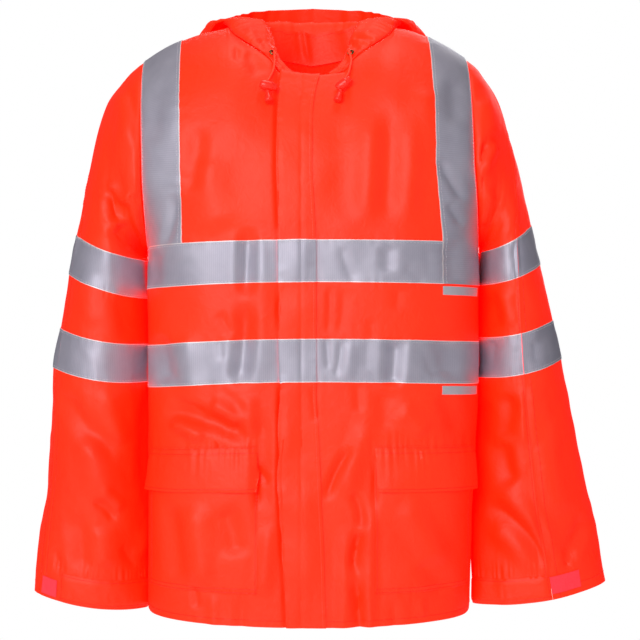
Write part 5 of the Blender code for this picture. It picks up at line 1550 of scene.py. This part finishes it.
def make_cuff_tab(side, panel):
    """The strap that closes the cuff, raised off the sleeve inside its edges, with its rows of thread."""
    low, high = CUFF_TAB[side]
    tab = crop(panel, across=(CUFF_TAB_START[side], 0.97), heights=(low, high))
    s, h = np.meshgrid((tab.across - tab.across[0]) / np.ptp(tab.across), (tab.heights - low) / (high - low))
    edge_off = np.minimum(np.minimum(s, 1 - s) * 0.09, np.minimum(h, 1 - h) * 0.031)
    tab = raised(tab, LIFT + CLOTH + 0.0013 * smooth_step(edge_off / 0.006) + rolled(edge_off) * 0.5)
    outer = cut_piece("cuff_tab_" + SIDE_NAME[side], "cloth", tab)
    THREAD_LINES.extend(edge_lines(outer, 0.0025) + [line(outer, across=tab.across[0] + 0.02)])


def make_sleeve(side, face):
    """One half of a sleeve with its two bands of tape, and its share of the cuff's strap and loop patch."""
    name = SIDE_NAME[side] + "_" + FACE_NAME[face]
    panel = sleeve_panel(side, face)
    cut_piece("sleeve_" + name, "cloth", panel)
    THREAD_LINES.append(line(panel, height=SLEEVE[side]["height"][-1] + CUFF_ROW))
    SEAM_LINES.append(line(panel, across=0.028))
    for span, place in ((SLEEVE_UPPER_BAND[side], "upper"), (SLEEVE_LOWER_BAND[side], "lower")):
        band = crop(panel, heights=span)
        outer = cut_piece("sleeve_band_%s_%s" % (place, name), "tape", band, LIFT)
        TAPE_EDGES.extend(edge_lines(outer, TAPE_INSET))
    if face == FRONT:
        make_cuff_tab(side, panel)
    if (face == FRONT) == (side == RIGHT):
        patch = crop(panel, across=(0.0, CUFF_PATCH_END[side]), heights=CUFF_PATCH[side])
        cut_piece("cuff_patch_" + SIDE_NAME[side], "loop", patch, LIFT)


def make_collar():
    """The low stand inside the back of the neck, highest at the centre back, its top edge a little wavy."""
    turns = np.linspace(*COLLAR_TURNS, 121)
    shares = np.linspace(0, 1, 22)
    turn, share = np.meshgrid(turns, shares)
    angle = np.radians(turn)
    seam_height = read(NECK, "height", np.where(turn > 180, 360 - turn, turn))
    way = (turn - COLLAR_TURNS[0] + 12) / (COLLAR_TURNS[1] - COLLAR_TURNS[0] + 24)
    rise = COLLAR_RISE * np.sin(way * np.pi) ** 0.6
    rise = rise + 0.0012 * np.sin(turn * 0.31) + 0.0008 * np.sin(turn * 0.77 + 1)
    up = COLLAR_FOOT + (rise - COLLAR_FOOT) * share
    inset = COLLAR_INSET + COLLAR_LEAN * np.maximum(up, 0)
    inset = inset + 0.0014 * share * np.sin(turn * 0.16 + 2.0)
    for at, wide, deep in COLLAR_FOLDS:
        inset = inset + deep * smooth_step(share * 2.2) * np.exp(-(((turn - at - 4 * share) / wide) ** 2))
    x = (NECK_HALF_WIDTH - inset) * np.sin(angle)
    y = NECK_CENTRE_Y - (NECK_HALF_DEPTH - inset) * np.cos(angle)
    points = np.stack([x, y, seam_height + up], axis=-1)
    normals = normals_of(points, 1)
    # The wall is built on the outside of its points' ring, towards the hood.
    centre = np.array([0, NECK_CENTRE_Y, 0])
    outward = np.sign(np.sum(normals * (points - centre) * np.array([1, 1, 0]), axis=-1, keepdims=True))
    collar = Panel(points, -normals * outward, turns, shares)
    cut_piece("collar", "cloth", collar)
    THREAD_LINES.append(line(collar, height=0.90))


def make_hood():
    """The lowered hood, from the neck seam over its crest and down into its bag, to the face edge."""
    right = -np.linspace(HOOD_CORNER[RIGHT], 180, HOOD_FINE)
    left = np.linspace(180, HOOD_CORNER[LEFT], HOOD_FINE)[1:]
    turns = np.concatenate([right, left])
    places = filled((0.0, 0.012, 0.03, 0.95, 0.98, 1.0), 0.016)
    turn, place = np.meshgrid(turns, places)
    points = hood(turn, place)
    normals = normals_of(points, -1)
    size = np.abs(turn)
    band = 1 - smooth_step((size - 78) / 40)
    along = turn * 0.0018
    lift = puckers(along, place * 0.05, 101, 0.010, 0.030, 0.0011) * (0.5 + 0.5 * band)
    lift += puckers(along, (1 - place) * 0.05, 103, 0.013, 0.020, 0.0009 + 0.0010 * (1 - band))
    lift += crumple(along, place * 0.10, 105, 0.040, 0.0012) * (1 - 0.5 * band)
    lift += HOOD_GAIN * crease_height(HOOD_CREASES, turn * METRES_A_DEGREE, place * 0.1)
    lift *= smooth_step(place / 0.05) * smooth_step((size - 12.4) / 8)
    lift += rolled((1 - place) * 0.05)
    points = points + normals * lift[..., None]
    panel = Panel(points, normals_of(points, -1), np.arange(len(turns), dtype=float), places)
    cut_piece("hood", "cloth", panel)
    THREAD_LINES.extend([line(panel, height=0.945), line(panel, height=0.03)])


def make_all():
    """Every piece, in order; the stitching comes last, along lines that the pieces leave."""
    make_camera()
    for side in (RIGHT, LEFT):
        make_drawcord(side)
    stage_and_light()
    fronts = make_fronts()
    back = make_back()
    make_body_bands(fronts, back)
    for side in (RIGHT, LEFT):
        make_brace(side, fronts, back)
        make_pocket(side, fronts[side])
    make_labels(fronts[LEFT])
    flap = make_storm_flap(fronts)
    for side in (RIGHT, LEFT):
        for face in (FRONT, BACK):
            make_sleeve(side, face)
    make_collar()
    make_hood()
    for panel in (fronts[RIGHT], fronts[LEFT], back):
        THREAD_LINES.append(line(panel, height=HEM + HEM_ROW))
    stitches("flap_stitching", MATERIALS["flap thread"], [line(flap, across=0.93)])
    stitches("tape_stitching", MATERIALS["tape thread"], TAPE_EDGES, pitch=0.0042)
    stitches("pocket_stitching", MATERIALS["thread"], POCKET_LINES)
    stitches("hem_stitching", MATERIALS["thread"], THREAD_LINES)
    stitches("seam_stitching", MATERIALS["thread"], SEAM_LINES)


MATERIALS = {
    "cloth": coated_polyester(),
    "tape": silver_tape(),
    "loop": loop_pile(),
    "label": woven_strip(),
    "brass": burnished_brass(),
    "cord": braided_cord(),
    "plastic": moulded_nylon(),
    # The last number of each thread is painted light, the red glow it sends out itself; the tape's thread has none.
    "thread": sewing_thread("polyester sewing thread", "#C8240C", 0.30),
    "tape thread": sewing_thread("tape sewing thread", "#D6D1DA", 0.0),
    "flap thread": sewing_thread("flap sewing thread", "#F4563A", 0.45),
}
TAPE_EDGES, POCKET_LINES, THREAD_LINES, SEAM_LINES = [], [], [], []
make_all()
